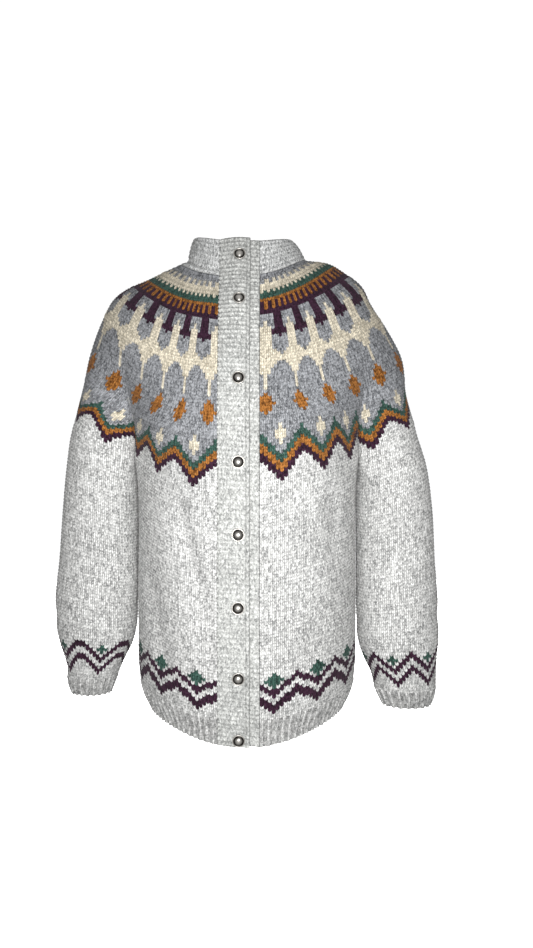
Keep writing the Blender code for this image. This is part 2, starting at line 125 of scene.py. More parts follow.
# inner and outer are a sleeve's two sides, measured from the garment's middle.
LEFT_SLEEVE = table(
    "height inner outer half_depth forward",
    (-661, 203.0, 275.0, 33.5, 8),
    (-650, 197.5, 279.5, 37.5, 8),
    (-635, 191.0, 282.0, 41.0, 8),
    (-613, 185.5, 282.5, 45.5, 7),
    (-591, 175.0, 283.5, 51.0, 6),
    (-567, 167.0, 286.0, 54.5, 5),
    (-531, 164.5, 286.5, 56.0, 4),
    (-447, 163.5, 280.5, 57.5, 2),
    (-363, 163.0, 276.0, 58.5, 0),
    (-303, 162.8, 267.0, 60.0, 0),
    (-255, 163.0, 252.0, 60.0, 0),
    (-220, 163.0, 243.0, 60.0, 0),
)
RIGHT_SLEEVE = table(
    "height inner outer half_depth forward",
    (-643, 204.0, 262.0, 28.5, 8),
    (-632, 199.5, 266.5, 32.0, 8),
    (-617, 194.0, 268.5, 35.5, 8),
    (-603, 188.5, 268.5, 40.0, 8),
    (-591, 183.0, 271.5, 44.5, 7),
    (-567, 171.5, 279.5, 51.5, 6),
    (-543, 166.0, 285.0, 55.0, 5),
    (-507, 164.5, 286.5, 56.5, 4),
    (-447, 163.5, 280.5, 57.5, 2),
    (-363, 163.0, 274.5, 58.5, 0),
    (-303, 162.8, 268.5, 60.0, 0),
    (-255, 163.0, 261.0, 60.0, 0),
    (-220, 163.0, 250.0, 60.0, 0),
)
YOKE = table(
    "climb left_out left_up right_out right_up front_out front_up back_out back_up",
    (0, 246, -231, 252, -231, 155.0, -329, 150, -310),
    (45, 235, -192, 241, -186, 153.5, -284, 149, -262),
    (90, 230, -146, 232, -140, 151.0, -239, 145, -215),
    (135, 209, -105, 217, -96, 145.5, -195, 137, -165),
    (180, 184, -66, 196, -57, 137.0, -151, 124, -112),
    (210, 170, -39, 175, -42, 129.0, -123, 114, -84),
    (240, 147, -21, 147, -30, 118.0, -95, 102, -54),
    (270, 121, -6, 118, -16, 106.5, -67, 91, -24),
    (300, 87, -2, 87, -3, 95.0, -39, 80, 5),
)
NECKBAND = table(
    "climb left_out left_up right_out right_up front_out front_up back_out back_up",
    (300, 87, -2, 87, -3, 95.0, -39, 80, 5),
    (315, 81, 10, 85, 10, 90.5, -23, 76, 17),
    (330, 74, 21, 82, 22, 85.0, -5, 71, 28),
    (344, 66, 28, 78, 31, 80.0, 12, 67, 37),
)
TORSO_FOLDS = table(
    "around height to_around to_height depth width",
    (-108, -322, -44, -524, 6.5, 17),
    (-84, -350, -20, -545, -2.5, 16),
    (-168, -430, -112, -612, 4.5, 19),
    (138, -335, 146, -440, 3.5, 16),
    (120, -520, 60, -610, 3.0, 20),
    (430, -345, 468, -540, 5.5, 19),
    (-392, -340, -452, -560, 6.0, 19),
    (330, -430, 292, -600, 4.0, 18),
    (-300, -460, -268, -600, 3.5, 18),
)
SLEEVE_FOLDS = table(
    "around height to_around to_height depth width",
    (48, -352, 130, -410, 3.2, 15),
    (60, -452, 150, -480, 2.6, 14),
    (150, -520, 240, -548, 3.0, 13),
    (60, -556, 130, -575, 3.0, 13),
    (225, -360, 300, -420, 3.2, 15),
    (215, -470, 300, -505, 2.8, 14),
)
TORSO_MEAN_RADIUS = 160 * MM
SLEEVE_MEAN_RADIUS = 57 * MM


def along(columns, name, at, key="height"):
    """A table's column read at any place, on a smooth curve through its rows."""
    order = np.argsort(columns[key])
    x, y = columns[key][order], columns[name][order]
    slope = np.gradient(y, x)
    i = np.clip(np.searchsorted(x, at) - 1, 0, len(x) - 2)
    step = x[i + 1] - x[i]
    t = np.clip((at - x[i]) / step, 0, 1)
    rise = 3 * t**2 - 2 * t**3
    bend = step * (slope[i] * (t - 2 * t**2 + t**3) + slope[i + 1] * (t**3 - t**2))
    return y[i] + (y[i + 1] - y[i]) * rise + bend


def fold_depth(folds, around, height):
    """How far the soft folds push the cloth in at a place."""
    total = np.zeros(np.broadcast(around, height).shape)
    for a, h, to_a, to_h, depth, width in zip(*folds.values()):
        run = np.array((to_a - a, to_h - h))
        length = np.hypot(*run)
        share = ((around - a) * run[0] + (height - h) * run[1]) / length**2
        beside = ((around - a) * run[1] - (height - h) * run[0]) / length
        taper = 1 - np.clip(np.abs(2 * share - 1), 0, 1) ** 3
        total = total + depth * taper * np.exp(-((beside / width) ** 2))
    return total


def join_height(x, y):
    """Height of the join between the body or a sleeve and the yoke."""
    on_front = np.clip(1 - (x / UNDERARM_OUT) ** 2, 0, None) * np.clip(-y, 0, None)
    return JOIN_MIDDLE + JOIN_TILT * y + JOIN_RISE * x**2 + FRONT_SLANT * x * on_front


def at_join(point, stitch):
    """Where a tube, given as point(stitch, height), reaches the join."""
    height = np.full(np.shape(stitch), UNDERARM_HEIGHT)
    for _ in range(5):
        x, y = point(stitch, height)
        height = join_height(x, y)
    return np.stack((x, y, height), -1)


def graft_pull(stitches_away, height):
    """Share of the way that the cloth beside an underarm corner is drawn to the grafted seam."""
    drop = np.clip((UNDERARM_HEIGHT - height) / GRAFT_DROP, 0, None)
    return np.exp(-((stitches_away / GRAFT_STITCHES) ** 2)) * np.exp(-(drop**2))


def torso_turn(stitch, half_width):
    """Angle round the torso from the front's middle, by way of the left side."""
    first = np.arcsin(LEFT_FRONT_EDGE / half_width)
    last = 2 * math.pi - np.arcsin(RIGHT_FRONT_EDGE / half_width)
    from_left = stitch / BODY_MARKS[1]
    from_right = (BODY_MARKS[5] - stitch) / (BODY_MARKS[5] - BODY_MARKS[4])
    left_front = first + (UNDERARM_TURNS[0] - first) * from_left
    right_front = last + (UNDERARM_TURNS[3] - last) * from_right
    middle = np.interp(stitch, BODY_MARKS[1:5], UNDERARM_TURNS)
    return np.where(from_left < 1, left_front, np.where(from_right < 1, right_front, middle))


def torso_point(stitch, height):
    """Plan position of a point of the body or the hem rib."""
    half_width = along(TORSO, "half_width", height)
    turn = torso_turn(stitch, half_width)
    depth = np.where(np.cos(turn) > 0, along(TORSO, "front", height), along(TORSO, "back", height))
    around = TORSO_MEAN_RADIUS * (turn - 2 * math.pi * (turn > math.pi))
    inward = fold_depth(TORSO_FOLDS, around, height)
    x = (half_width - inward) * np.sin(turn)
    y = -(depth - inward) * np.cos(turn)
    away = np.min([np.abs(stitch - mark) for mark in BODY_MARKS[1:5]], axis=0)
    side = np.sign(np.sin(turn))
    x = x + graft_pull(away, height) * (side * (UNDERARM_OUT - SEAM_GAP) - x)
    return x, y


def sleeve_point(sections, side, stitch, height):
    """Plan position of a point of a sleeve or cuff.  side is 1 on the left, -1 on the right."""
    inner = along(sections, "inner", height)
    outer = along(sections, "outer", height)
    half_depth = along(sections, "half_depth", height)
    forward = along(sections, "forward", height)
    corner = math.asin(UNDERARM_REACH / sections["half_depth"][-1])
    count = stitch if side > 0 else SLEEVE_STITCHES - stitch
    marks = (-UNDERARM_STITCHES, 0, SLEEVE_STITCHES, SLEEVE_STITCHES + UNDERARM_STITCHES)
    turn = np.interp(count, marks, (-corner, corner, 2 * math.pi - corner, 2 * math.pi + corner))
    inward = fold_depth(SLEEVE_FOLDS, SLEEVE_MEAN_RADIUS * np.mod(turn, 2 * math.pi), height)
    inward = inward * (1 - np.cos(turn)) / 2
    x = (inner + outer) / 2 - ((outer - inner) / 2 - inward) * np.cos(turn)
    y = -forward - (half_depth - inward) * np.sin(turn)
    away = np.min([np.abs(count - mark) for mark in marks], axis=0)
    x = x + graft_pull(away, height) * (UNDERARM_OUT + SEAM_GAP - x)
    return side * x, y


def left_sleeve_point(stitch, height):
    """Plan position of a point of the left sleeve or cuff."""
    return sleeve_point(LEFT_SLEEVE, 1, stitch, height)


def right_sleeve_point(stitch, height):
    """Plan position of a point of the right sleeve or cuff."""
    return sleeve_point(RIGHT_SLEEVE, -1, stitch, height)


def tube_grid(point, stitches, levels, rib_top, rib_end):
    """Points of a tube, rows by columns.  Level 0 is the join, 1 the rib's top and 2 its end."""
    start = at_join(point, stitches)[:, 2] - SEAM_GAP
    levels = np.asarray(levels, float)[:, None]
    height = np.where(
        levels < 1, start + (rib_top - start) * levels, rib_top + (rib_end - rib_top) * (levels - 1)
    )
    x, y = point(np.broadcast_to(stitches, height.shape), height)
    return np.stack((x, y, height), -1)


def torso_grid(stitches, levels):
    """The body from level 0 to 1 and the hem rib from 1 to 2.  The hem sags in front."""
    turn = torso_turn(stitches, TORSO["half_width"][1])
    end = HEM_SIDE - HEM_FRONT_SAG * ((1 + np.cos(turn)) / 2) ** HEM_SAG_SHARPNESS
    return tube_grid(torso_point, stitches, levels, end + HEM_RIB_HEIGHT, end)


def yoke_base(stitch):
    """The yoke's lower edge, which follows the body and the sleeves round the join."""
    base = np.empty(np.shape(stitch) + (3,))
    start, left, back, right, front, end = YOKE_MARKS
    runs = (
        (start, left, torso_point, BODY_MARKS[0]),
        (left, back, left_sleeve_point, 0),
        (right, front, right_sleeve_point, 0),
        (back, right, torso_point, BODY_MARKS[2]),
        (front, end, torso_point, BODY_MARKS[4]),
    )
    for first, last, point, count in runs:
        here = (stitch >= first) & (stitch <= last)
        base[here] = at_join(point, stitch[here] - first + count)
    return base


def yoke_ring(stitch, climb):
    """A smooth oval ring of the yoke or the neckband, its stitches evenly spaced."""
    rings = YOKE if climb <= YOKE_CLIMB else NECKBAND
    size = {name: along(rings, name, climb, "climb") for name in rings}

    def oval(turn):
        side = np.where(np.sin(turn) > 0, size["left_out"], size["right_out"])
        side_up = np.where(np.sin(turn) > 0, size["left_up"], size["right_up"])
        end = np.where(np.cos(turn) > 0, size["front_out"], size["back_out"])
        end_up = np.where(np.cos(turn) > 0, size["front_up"], size["back_up"])
        up = side_up * np.sin(turn) ** 2 + end_up * np.cos(turn) ** 2
        return np.stack((side * np.sin(turn), -end * np.cos(turn), up), -1)

    first = math.asin(LEFT_FRONT_EDGE / size["left_out"])
    last = 2 * math.pi - math.asin(RIGHT_FRONT_EDGE / size["right_out"])
    turns = np.linspace(first, last, 361)
    steps = np.linalg.norm(np.diff(oval(turns), axis=0), axis=1)
    length = np.concatenate(([0], np.cumsum(steps)))
    return oval(np.interp(stitch / YOKE_MARKS[5] * length[-1], length, turns))


def collar_grid(stitches, climbs):
    """The yoke, and past its climb the neckband.  Rows run down, so the highest climb comes first."""
    drawn_in = yoke_base(stitches) - yoke_ring(stitches, 0)
    rows = []
    for climb in climbs:
        share = np.clip(1 - climb / CREASE_CLIMB, 0, 1)
        rows.append(yoke_ring(stitches, climb) + drawn_in * share**2 * (3 - 2 * share))
    return np.array(rows)


def front_edges():
    """The left and right front edges from the hem up to the neckband's top, as two lines of points."""
    torso = torso_grid(np.array((BODY_MARKS[0], BODY_MARKS[5])), np.linspace(2, 0, 41))
    climbs = np.linspace(0, YOKE_CLIMB + NECKBAND_HEIGHT, 44)
    collar = collar_grid(np.array((YOKE_MARKS[0], YOKE_MARKS[5])), climbs)
    lines = np.concatenate((torso, collar[1:]))
    return lines[:, 0], lines[:, 1]


def even_line(line, count):
    """A line's points, evenly spaced along it."""
    length = np.concatenate(([0], np.cumsum(np.linalg.norm(np.diff(line, axis=0), axis=1))))
    places = np.linspace(0, length[-1], count)
    return np.stack([np.interp(places, length, line[:, axis]) for axis in range(3)], -1)


class FrontPanel:
    """The strip between the two front edges.  Bands are made from its points, moved out."""

    def __init__(self, rows):
        left, right = front_edges()
        self.left, self.right = even_line(left, rows), even_line(right, rows)
        middle = (self.left + self.right) / 2
        run = np.gradient(middle, axis=0)
        normal = np.stack((np.zeros(rows), -run[:, 2], run[:, 1]), -1)
        self.normal = normal / np.linalg.norm(normal, axis=1, keepdims=True)
        to_neck = np.clip(1 + middle[:, 2] / -JOIN_MIDDLE, 0, 1)
        self.crown = (CROWN + NECK_CROWN * to_neck**2) * MM

    def line(self, across, out):
        """The line at a distance across from the middle, moved out by a distance or one for each row."""
        share = (across + RIGHT_FRONT_EDGE) / (LEFT_FRONT_EDGE + RIGHT_FRONT_EDGE)
        rise = self.crown * 4 * share * (1 - share) + out
        return self.right + (self.left - self.right) * share + self.normal * rise[:, None]


# ---------------------------------------------------------------------------------------------------------------------
# The charts.  Each word is one row of half a repeat, from the stitch of the pattern's point out to the stitch midway
# between two points; the other half is its mirror.  The rows run up from the first, and shorter words have fewer
# stitches to the repeat, where the yoke is decreased.

LETTERS = ".mcgoa"
YARNS = (
    ("light", "Light grey body wool", "#ECECEA", "#8B8D8E"),
    ("middle", "Mid grey yoke wool", "#A9ABAF", "#62656A"),
    ("cream", "Cream wool", "#F3E9D3", "#CDBB97"),
    ("green", "Dark green wool", "#44645A", "#1D3029"),
    ("ochre", "Ochre wool", "#B3763A", "#5E3412"),
    ("aubergine", "Aubergine wool", "#42273A", "#160A12"),
    ("band", "Light grey band wool", "#CDCECB", "#8F9291"),
    ("collar", "Mixed grey neckband wool", "#E2E3E2", "#85888A"),
)
BAND_YARN, COLLAR_YARN = 6, 7

YOKE_CHART = """
a...... aa..... aa..... oaa.... ooaa... ooaa... gooaa.. ggooaa. ggooaaa mggooaa mmggooa mmggooo cmmggoo
cmmmggo ccmmggg ccmmmgg ccmmmmg cmmmmmg cmmmmmm mmmmmmm
mmmmmm mmmmmm mmmmmo mmmmoo mmmmoo mmmooo mmmmoo mmmmoo mmmmmo mmmmmm
mmmmmc mmmmmc mmmmmc mmmmmc mmmmmc mmmmcc mmmmcc mmmccc mmcccc cccccc
ccccc mcccc mmccc mmmcc mmmcc mmmcc mmmcc ammcc aaacc aaacc aamcc aammc aammc aammm aammm
aaaa aaaa oaoa oaoa oaoa oooo gggg gggg gcgc cccc cccc
cmc cmc mmm mmm
""".split()
YOKE_REPEATS = 21
YOKE_SPLIT_ROW = 40
# Stitches beyond the first and last repeat, at the left and right front edge, by the stitches in a repeat.
EDGE_STITCHES = {12: (0, 0), 10: (2, 2), 8: (2, 0), 6: (1, 1), 4: (0, 0)}

# The hem's zigzag starts this many rows above the rib, and runs from each front edge to the middle of the back.
HEM_CHART = """
a...... aa..... aaa.... .aaaa.. ..aaaa. a..aaaa aa...aa aaa...a g.aaa.. gg.aaa. ggg..aa gg....a g......
""".split()
BODY_ROWS = 73
HEM_FIRST_ROW = 2
HEM_POINTS = (3, 15, 27, 39, 52, 64, 76, 89, 101, 113, 126, 138, 150, 162)
CUFF_CHART = """
a...... aa..... .aa.... ..aa... a..aa.. aa..aaa .aa..aa g.aa... gg.aa.. g...aaa .....aa
""".split()
SLEEVE_ROWS = 76
CUFF_FIRST_ROW = 2
LEFT_CUFF_POINTS = (7, 17, 28, 38, 48, 59)
RIGHT_CUFF_POINTS = (7, 20, 32, 44, 57)
PLAIN = 0


def chart_yarn(chart, row, away):
    """The yarn of a stitch in a chart's row, so many stitches away from the pattern's point."""
    word = chart[row]
    return LETTERS.index(word[min(round(away), len(word) - 1)])


# ---------------------------------------------------------------------------------------------------------------------
# Knitting: point grids with four columns and two rows to a stitch.

LEG_COLUMNS = 4
HALF_ROWS = 2
# A stitch is a V: its middle hangs half a row below its sides, and each leg is highest along its middle.
# The crest also darkens the wool's colour towards the hollows, as painted shade.
V_DROP = (0, 0.25, 0.5, 0.25)
LEG_CREST = (0, 1, 0.15, 1)
# A leg is lower by this share where two stitches meet, and keeps these shares of its height in a rib's wales.
# These shares also lower the crest that darkens the wool as painted shade, most of all in a rib's purl wales.
STITCH_NOTCH = 0.6
PURL_CREST, KNIT_CREST = 0.1, 0.75


def in_scene(name, data):
    """A new object in the scene."""
    item = bpy.data.objects.new(name, data)
    bpy.context.scene.collection.objects.link(item)
    return item


class Knitting:
    """A knitted piece being made: its points, what the stitch tree reads from them, and its faces with their yarn.

    The yarn attribute counts from 1, because the fibres have none.
    """

    def __init__(self):
        self.points, self.out, self.crest, self.rib = [], [], [], []
        self.faces, self.yarn, self.leg = [], [], []
        self.count = self.legs = 0

    def add_points(self, grid, out=None, crest=0, rib=0):
        """Adds a grid of points and returns their numbers in the grid's shape."""
        shape = grid.shape[:-1]
        self.points.append(grid.reshape(-1, 3))
        self.out.append((np.zeros_like(grid) if out is None else out).reshape(-1, 3))
        self.crest.append(np.broadcast_to(crest, shape).ravel())
        self.rib.append(np.broadcast_to(rib, shape).ravel())
        numbers = self.count + np.arange(np.prod(shape)).reshape(shape)
        self.count += numbers.size
        return numbers

    def add_quads(self, numbers, yarn, leg):
        """Faces over a grid whose rows run down and whose columns run anticlockwise, as seen from above."""
        corners = (numbers[:-1, :-1], numbers[1:, :-1], numbers[1:, 1:], numbers[:-1, 1:])
        self.faces.append(np.stack(corners, -1).reshape(-1, 4))
        self.yarn.append(np.broadcast_to(yarn, corners[0].shape).ravel())
        self.leg.append(np.broadcast_to(leg, corners[0].shape).ravel())

    def add_strip(self, upper, lower, upper_at=None, lower_at=None, yarn=PLAIN):
        """Triangles between two lines of points with different counts.  The places along them run from 0 to 1."""
        upper_at = np.linspace(0, 1, len(upper)) if upper_at is None else upper_at
        lower_at = np.linspace(0, 1, len(lower)) if lower_at is None else lower_at
        i = j = 0
        strip, yarns = [], []
        while i < len(upper) - 1 or j < len(lower) - 1:
            if j == len(lower) - 1 or (i < len(upper) - 1 and upper_at[i + 1] <= lower_at[j + 1]):
                strip.append((upper[i], lower[j], upper[i + 1], upper[i + 1]))
                i += 1
            else:
                strip.append((upper[i], lower[j], lower[j + 1], lower[j + 1]))
                j += 1
            yarns.append(yarn if np.ndim(yarn) == 0 else yarn[min(int(lower_at[j] * len(yarn)), len(yarn) - 1)])
        self.faces.append(np.array(strip))
        self.yarn.append(np.array(yarns))
        self.leg.append(np.zeros(len(strip), int))

    def make(self, name):
        """The piece as an object, with its point and face attributes."""
        faces = np.concatenate(self.faces)
        sides = np.where(faces[:, 2] == faces[:, 3], 3, 4)
        starts = np.concatenate(([0], np.cumsum(sides)[:-1]))
        keep = np.ones(faces.shape, bool)
        keep[:, 3] = sides == 4
        corners = faces[keep]
        mesh = bpy.data.meshes.new(name)
        mesh.vertices.add(self.count)
        mesh.vertices.foreach_set("co", np.concatenate(self.points).ravel())
        mesh.loops.add(len(corners))
        mesh.loops.foreach_set("vertex_index", corners.astype(np.int32))
        mesh.polygons.add(len(faces))
        mesh.polygons.foreach_set("loop_start", starts.astype(np.int32))
        mesh.update(calc_edges=True)
        mesh.validate()
        kinds = (
            ("out", "FLOAT_VECTOR", "POINT", "vector", self.out),
            ("crest", "FLOAT", "POINT", "value", self.crest),
            ("rib", "FLOAT", "POINT", "value", self.rib),
            ("yarn", "INT", "FACE", "value", [yarn + 1 for yarn in self.yarn]),
            ("leg", "INT", "FACE", "value", self.leg),
        )
        for label, kind, domain, field, values in kinds:
            values = np.concatenate(values)
            values = values.astype(np.int32 if kind == "INT" else np.float32)
            mesh.attributes.new(label, kind, domain).data.foreach_set(field, values.ravel())
        mesh.shade_smooth()
        return in_scene(name, mesh)


def unit(vectors):
    """Vectors at a length of 1."""
    return vectors / np.linalg.norm(vectors, axis=-1, keepdims=True)


def outward(grid, closed):
    """Outward unit normals of a grid whose rows run down and whose columns run anticlockwise from above."""
    if closed:
        across = np.roll(grid, -1, axis=1) - np.roll(grid, 1, axis=1)
    else:
        across = np.gradient(grid, axis=1)
    return unit(np.cross(np.gradient(grid, axis=0), across))


def sheared(grid, drops, fade_top=True, fade_end=True):
    """Lets each column hang lower by its drop in rows.  The grid's rows are half a stitch apart and run down."""
    count = len(grid)
    row = np.arange(count)[:, None]
    fade = np.ones((count, 1))
    if fade_top:
        fade = np.minimum(fade, row / HALF_ROWS)
    if fade_end:
        fade = np.minimum(fade, (count - 1 - row) / HALF_ROWS)
    place = row + HALF_ROWS * drops[None, :] * fade
    low = np.minimum(place.astype(int), count - 2)  # past the last row the cloth runs straight on
    share = (place - low)[..., None]
    column = np.arange(grid.shape[1])[None, :]
    return grid[low, column] * (1 - share) + grid[low + 1, column] * share


def knit_face(piece, grid, closed, yarn, rib=None, fade_top=True, fade_end=True):
    """Adds a knitted face.  yarn holds the yarn of each stitch, by row and column; rib each wale's rise."""
    rows, wales = yarn.shape
    columns = np.arange(grid.shape[1]) % LEG_COLUMNS
    normal = outward(grid, closed)
    drops = np.array(V_DROP)[columns]
    points = sheared(grid, drops, fade_top, fade_end)
    normal = sheared(normal, drops, fade_top, fade_end)
    full = 1 - STITCH_NOTCH * (np.arange(len(grid)) % HALF_ROWS == 0)
    # The first and last rows keep a full crest, so that no line of painted shade runs where faces meet.
    full[[0, -1]] = 1
    crest = full[:, None] * np.array(LEG_CREST)[columns][None, :]
    rise = 0 if rib is None else rib
    # In a rib the purl wales lie low and are painted darker, as shade.
    if rib is not None:
        crest = crest * np.where(rib < 0, PURL_CREST, KNIT_CREST)
    numbers = piece.add_points(points, normal, crest, rise)
    if closed:
        numbers = np.concatenate((numbers, numbers[:, :1]), axis=1)
    legs = piece.legs + np.arange(rows * wales * 2).reshape(rows, wales * 2) + 1
    piece.legs += legs.size
    piece.add_quads(
        numbers,
        np.repeat(np.repeat(yarn, HALF_ROWS, 0), LEG_COLUMNS, 1),
        np.repeat(np.repeat(legs, HALF_ROWS, 0), LEG_COLUMNS // 2, 1),
    )
    return numbers


def close_wall(piece, outer, inner, closed):
    """Joins a wall's outer and inner faces along their edges."""
    piece.add_strip(inner[0], outer[0])
    piece.add_strip(outer[-1], inner[-1])
    if not closed:
        piece.add_strip(outer[:, 0], inner[:, 0])
        piece.add_strip(inner[:, -1], outer[:, -1])


# ---------------------------------------------------------------------------------------------------------------------
# Node helpers, materials and the Geometry Nodes trees.


def linear(code):
    """An sRGB hex colour as linear RGB."""
    channels = [int(code[i : i + 2], 16) / 255 for i in (1, 3, 5)]
    return tuple(c / 12.92 if c <= 0.04045 else ((c + 0.055) / 1.055) ** 2.4 for c in channels)


def add_node(tree, kind, inputs=(), **settings):
    """Adds a node with its settings, and fills its inputs with values or other nodes' outputs."""
    node = tree.nodes.new(kind)
    for name, value in settings.items():
        setattr(node, name, value)
    for socket, value in dict(inputs).items():
        if isinstance(value, bpy.types.NodeSocket):
            tree.links.new(value, node.inputs[socket])
        else:
            node.inputs[socket].default_value = value
    return node


def new_material(name):
    """An empty material and its node tree."""
    material = bpy.data.materials.new(name)
    material.use_nodes = True
    material.node_tree.nodes.clear()
    return material, material.node_tree


def wool(name, colour, fleck, flecked):
    """Lightly spun, plied lambswool: dull, hairy and heathered.

    A thread mixes fibres of several shades, so each leg of a stitch has a tone of its own and a share of the tufts in
    it is dark.  The hollows between the legs are painted darker, as shade, and the hairs catch a pale
    sheen where the cloth turns away.
    """
    material, tree = new_material(name)
    place = add_node(tree, "ShaderNodeTexCoord").outputs["Object"]
    # Tufts of 2 to 3 mm, about as wide as a leg, and a slow drift of tone over about 60 mm.
    tufts = add_node(tree, "ShaderNodeTexNoise", {"Vector": place, "Scale": 420, "Detail": 3, "Roughness": 0.6})
    slow = add_node(tree, "ShaderNodeTexNoise", {"Vector": place, "Scale": 17, "Detail": 3})
    leg = add_node(tree, "ShaderNodeAttribute", attribute_name="tone")
    crest = add_node(tree, "ShaderNodeAttribute", attribute_name="crest")
    uneven = add_node(tree, "ShaderNodeMapRange", {"Value": tufts.outputs["Fac"], "From Min": 0.25, "From Max": 0.75,
                                                   "To Min": -0.5, "To Max": 0.5})
    half = add_node(tree, "ShaderNodeMapRange", {"Value": leg.outputs["Fac"], "To Min": 0.25, "To Max": 0.75})
    tone = add_node(tree, "ShaderNodeMath", {0: half.outputs[0], 1: uneven.outputs[0]}, operation="ADD")
    dark_above = 1.08 - flecked
    dark = add_node(tree, "ShaderNodeMapRange", {"Value": tone.outputs[0], "From Min": dark_above - 0.3,
                                                 "From Max": dark_above + 0.25})
    pale = add_node(tree, "ShaderNodeMapRange", {"Value": tone.outputs[0], "From Min": 0.0, "From Max": 0.7,
                                                 "To Min": 1.5, "To Max": 0.72})
    drift = add_node(tree, "ShaderNodeMapRange", {"Value": slow.outputs["Fac"], "From Min": 0.3, "From Max": 0.7,
                                                  "To Min": 0.92, "To Max": 1.05})
    # Painted shade: the colour falls to 0.38 of itself where the crest is 0, in the hollows between the legs.
    painted_hollow_shade = add_node(tree, "ShaderNodeMapRange", {"Value": crest.outputs["Fac"], "To Min": 0.38, "To Max": 1.0})
    mixed = add_node(tree, "ShaderNodeMix", {"Factor": dark.outputs[0], 6: (*colour, 1), 7: (*fleck, 1)},
                     data_type="RGBA")
    light = add_node(tree, "ShaderNodeMath", {0: pale.outputs[0], 1: drift.outputs[0]}, operation="MULTIPLY")
    tone_and_painted_shade = add_node(tree, "ShaderNodeMath", {0: light.outputs[0], 1: painted_hollow_shade.outputs[0]}, operation="MULTIPLY")
    scaled = add_node(tree, "ShaderNodeVectorMath", {0: mixed.outputs[2], "Scale": tone_and_painted_shade.outputs[0]},
                      operation="SCALE")
    # Single hairs of 0.05 mm are too fine to show; this bump is drawn ten times coarser.
    hair = add_node(tree, "ShaderNodeTexNoise", {"Vector": place, "Scale": 1400, "Detail": 3, "Roughness": 0.7})
    bump = add_node(tree, "ShaderNodeBump", {"Height": hair.outputs["Fac"], "Strength": 0.4, "Distance": 0.0008})
    shader = add_node(
        tree, "ShaderNodeBsdfPrincipled",
        {"Base Color": scaled.outputs[0], "Roughness": 0.95, "Sheen Weight": 0.05, "Sheen Roughness": 0.5,
         "Specular IOR Level": 0.15, "Normal": bump.outputs[0]},
    )
    add_node(tree, "ShaderNodeOutputMaterial", {"Surface": shader.outputs[0]})
    return material


def pewter(name, bright, groove):
    """Cast and antiqued pewter: a soft grey mirror, nearly black in its grooves, bright where it is rubbed."""
    material, tree = new_material(name)
    place = add_node(tree, "ShaderNodeTexCoord").outputs["Object"]
    # Casting flaws and rubbing marks of 1 to 4 mm.
    cloud = add_node(tree, "ShaderNodeTexNoise", {"Vector": place, "Scale": 260, "Detail": 4})
    worn = add_node(tree, "ShaderNodeAttribute", attribute_name="worn")
    rubbed = add_node(tree, "ShaderNodeMath", {0: cloud.outputs["Fac"], 1: -0.5}, operation="ADD")
    share = add_node(tree, "ShaderNodeMath", {0: rubbed.outputs[0], 1: 0.5, 2: worn.outputs["Fac"]},
                     operation="MULTIPLY_ADD")
    colour = add_node(tree, "ShaderNodeMix", {"Factor": share.outputs[0], 6: (*groove, 1), 7: (*bright, 1)},
                      data_type="RGBA")
    rough = add_node(tree, "ShaderNodeMapRange", {"Value": cloud.outputs["Fac"], "To Min": 0.22, "To Max": 0.42})
    bump = add_node(tree, "ShaderNodeBump", {"Height": cloud.outputs["Fac"], "Strength": 0.2, "Distance": 0.0003})
    shader = add_node(
        tree, "ShaderNodeBsdfPrincipled",
        {"Base Color": colour.outputs[2], "Metallic": 1.0, "Roughness": rough.outputs[0], "Normal": bump.outputs[0]},
    )
    add_node(tree, "ShaderNodeOutputMaterial", {"Surface": shader.outputs[0]})
    return material


def painted_board(name, colour):
    """Matt emulsion on board: even and pale, with a faint roller mottle."""
    material, tree = new_material(name)
    place = add_node(tree, "ShaderNodeTexCoord").outputs["Object"]
    mottle = add_node(tree, "ShaderNodeTexNoise", {"Vector": place, "Scale": 60, "Detail": 2})
    rough = add_node(tree, "ShaderNodeMapRange", {"Value": mottle.outputs["Fac"], "To Min": 0.8, "To Max": 0.95})
    shader = add_node(tree, "ShaderNodeBsdfPrincipled", {"Base Color": (*colour, 1), "Roughness": rough.outputs[0],
                                                         "Specular IOR Level": 0.1})
    add_node(tree, "ShaderNodeOutputMaterial", {"Surface": shader.outputs[0]})
    return material


def new_tree(name, sockets):
    """A Geometry Nodes tree with a geometry going in and out and the named sizes."""
    tree = bpy.data.node_groups.new(name, "GeometryNodeTree")
    tree.interface.new_socket("Geometry", in_out="INPUT", socket_type="NodeSocketGeometry")
    tree.interface.new_socket("Geometry", in_out="OUTPUT", socket_type="NodeSocketGeometry")
    for label, kind in sockets:
        tree.interface.new_socket(label, in_out="INPUT", socket_type="NodeSocket" + kind)
    return tree


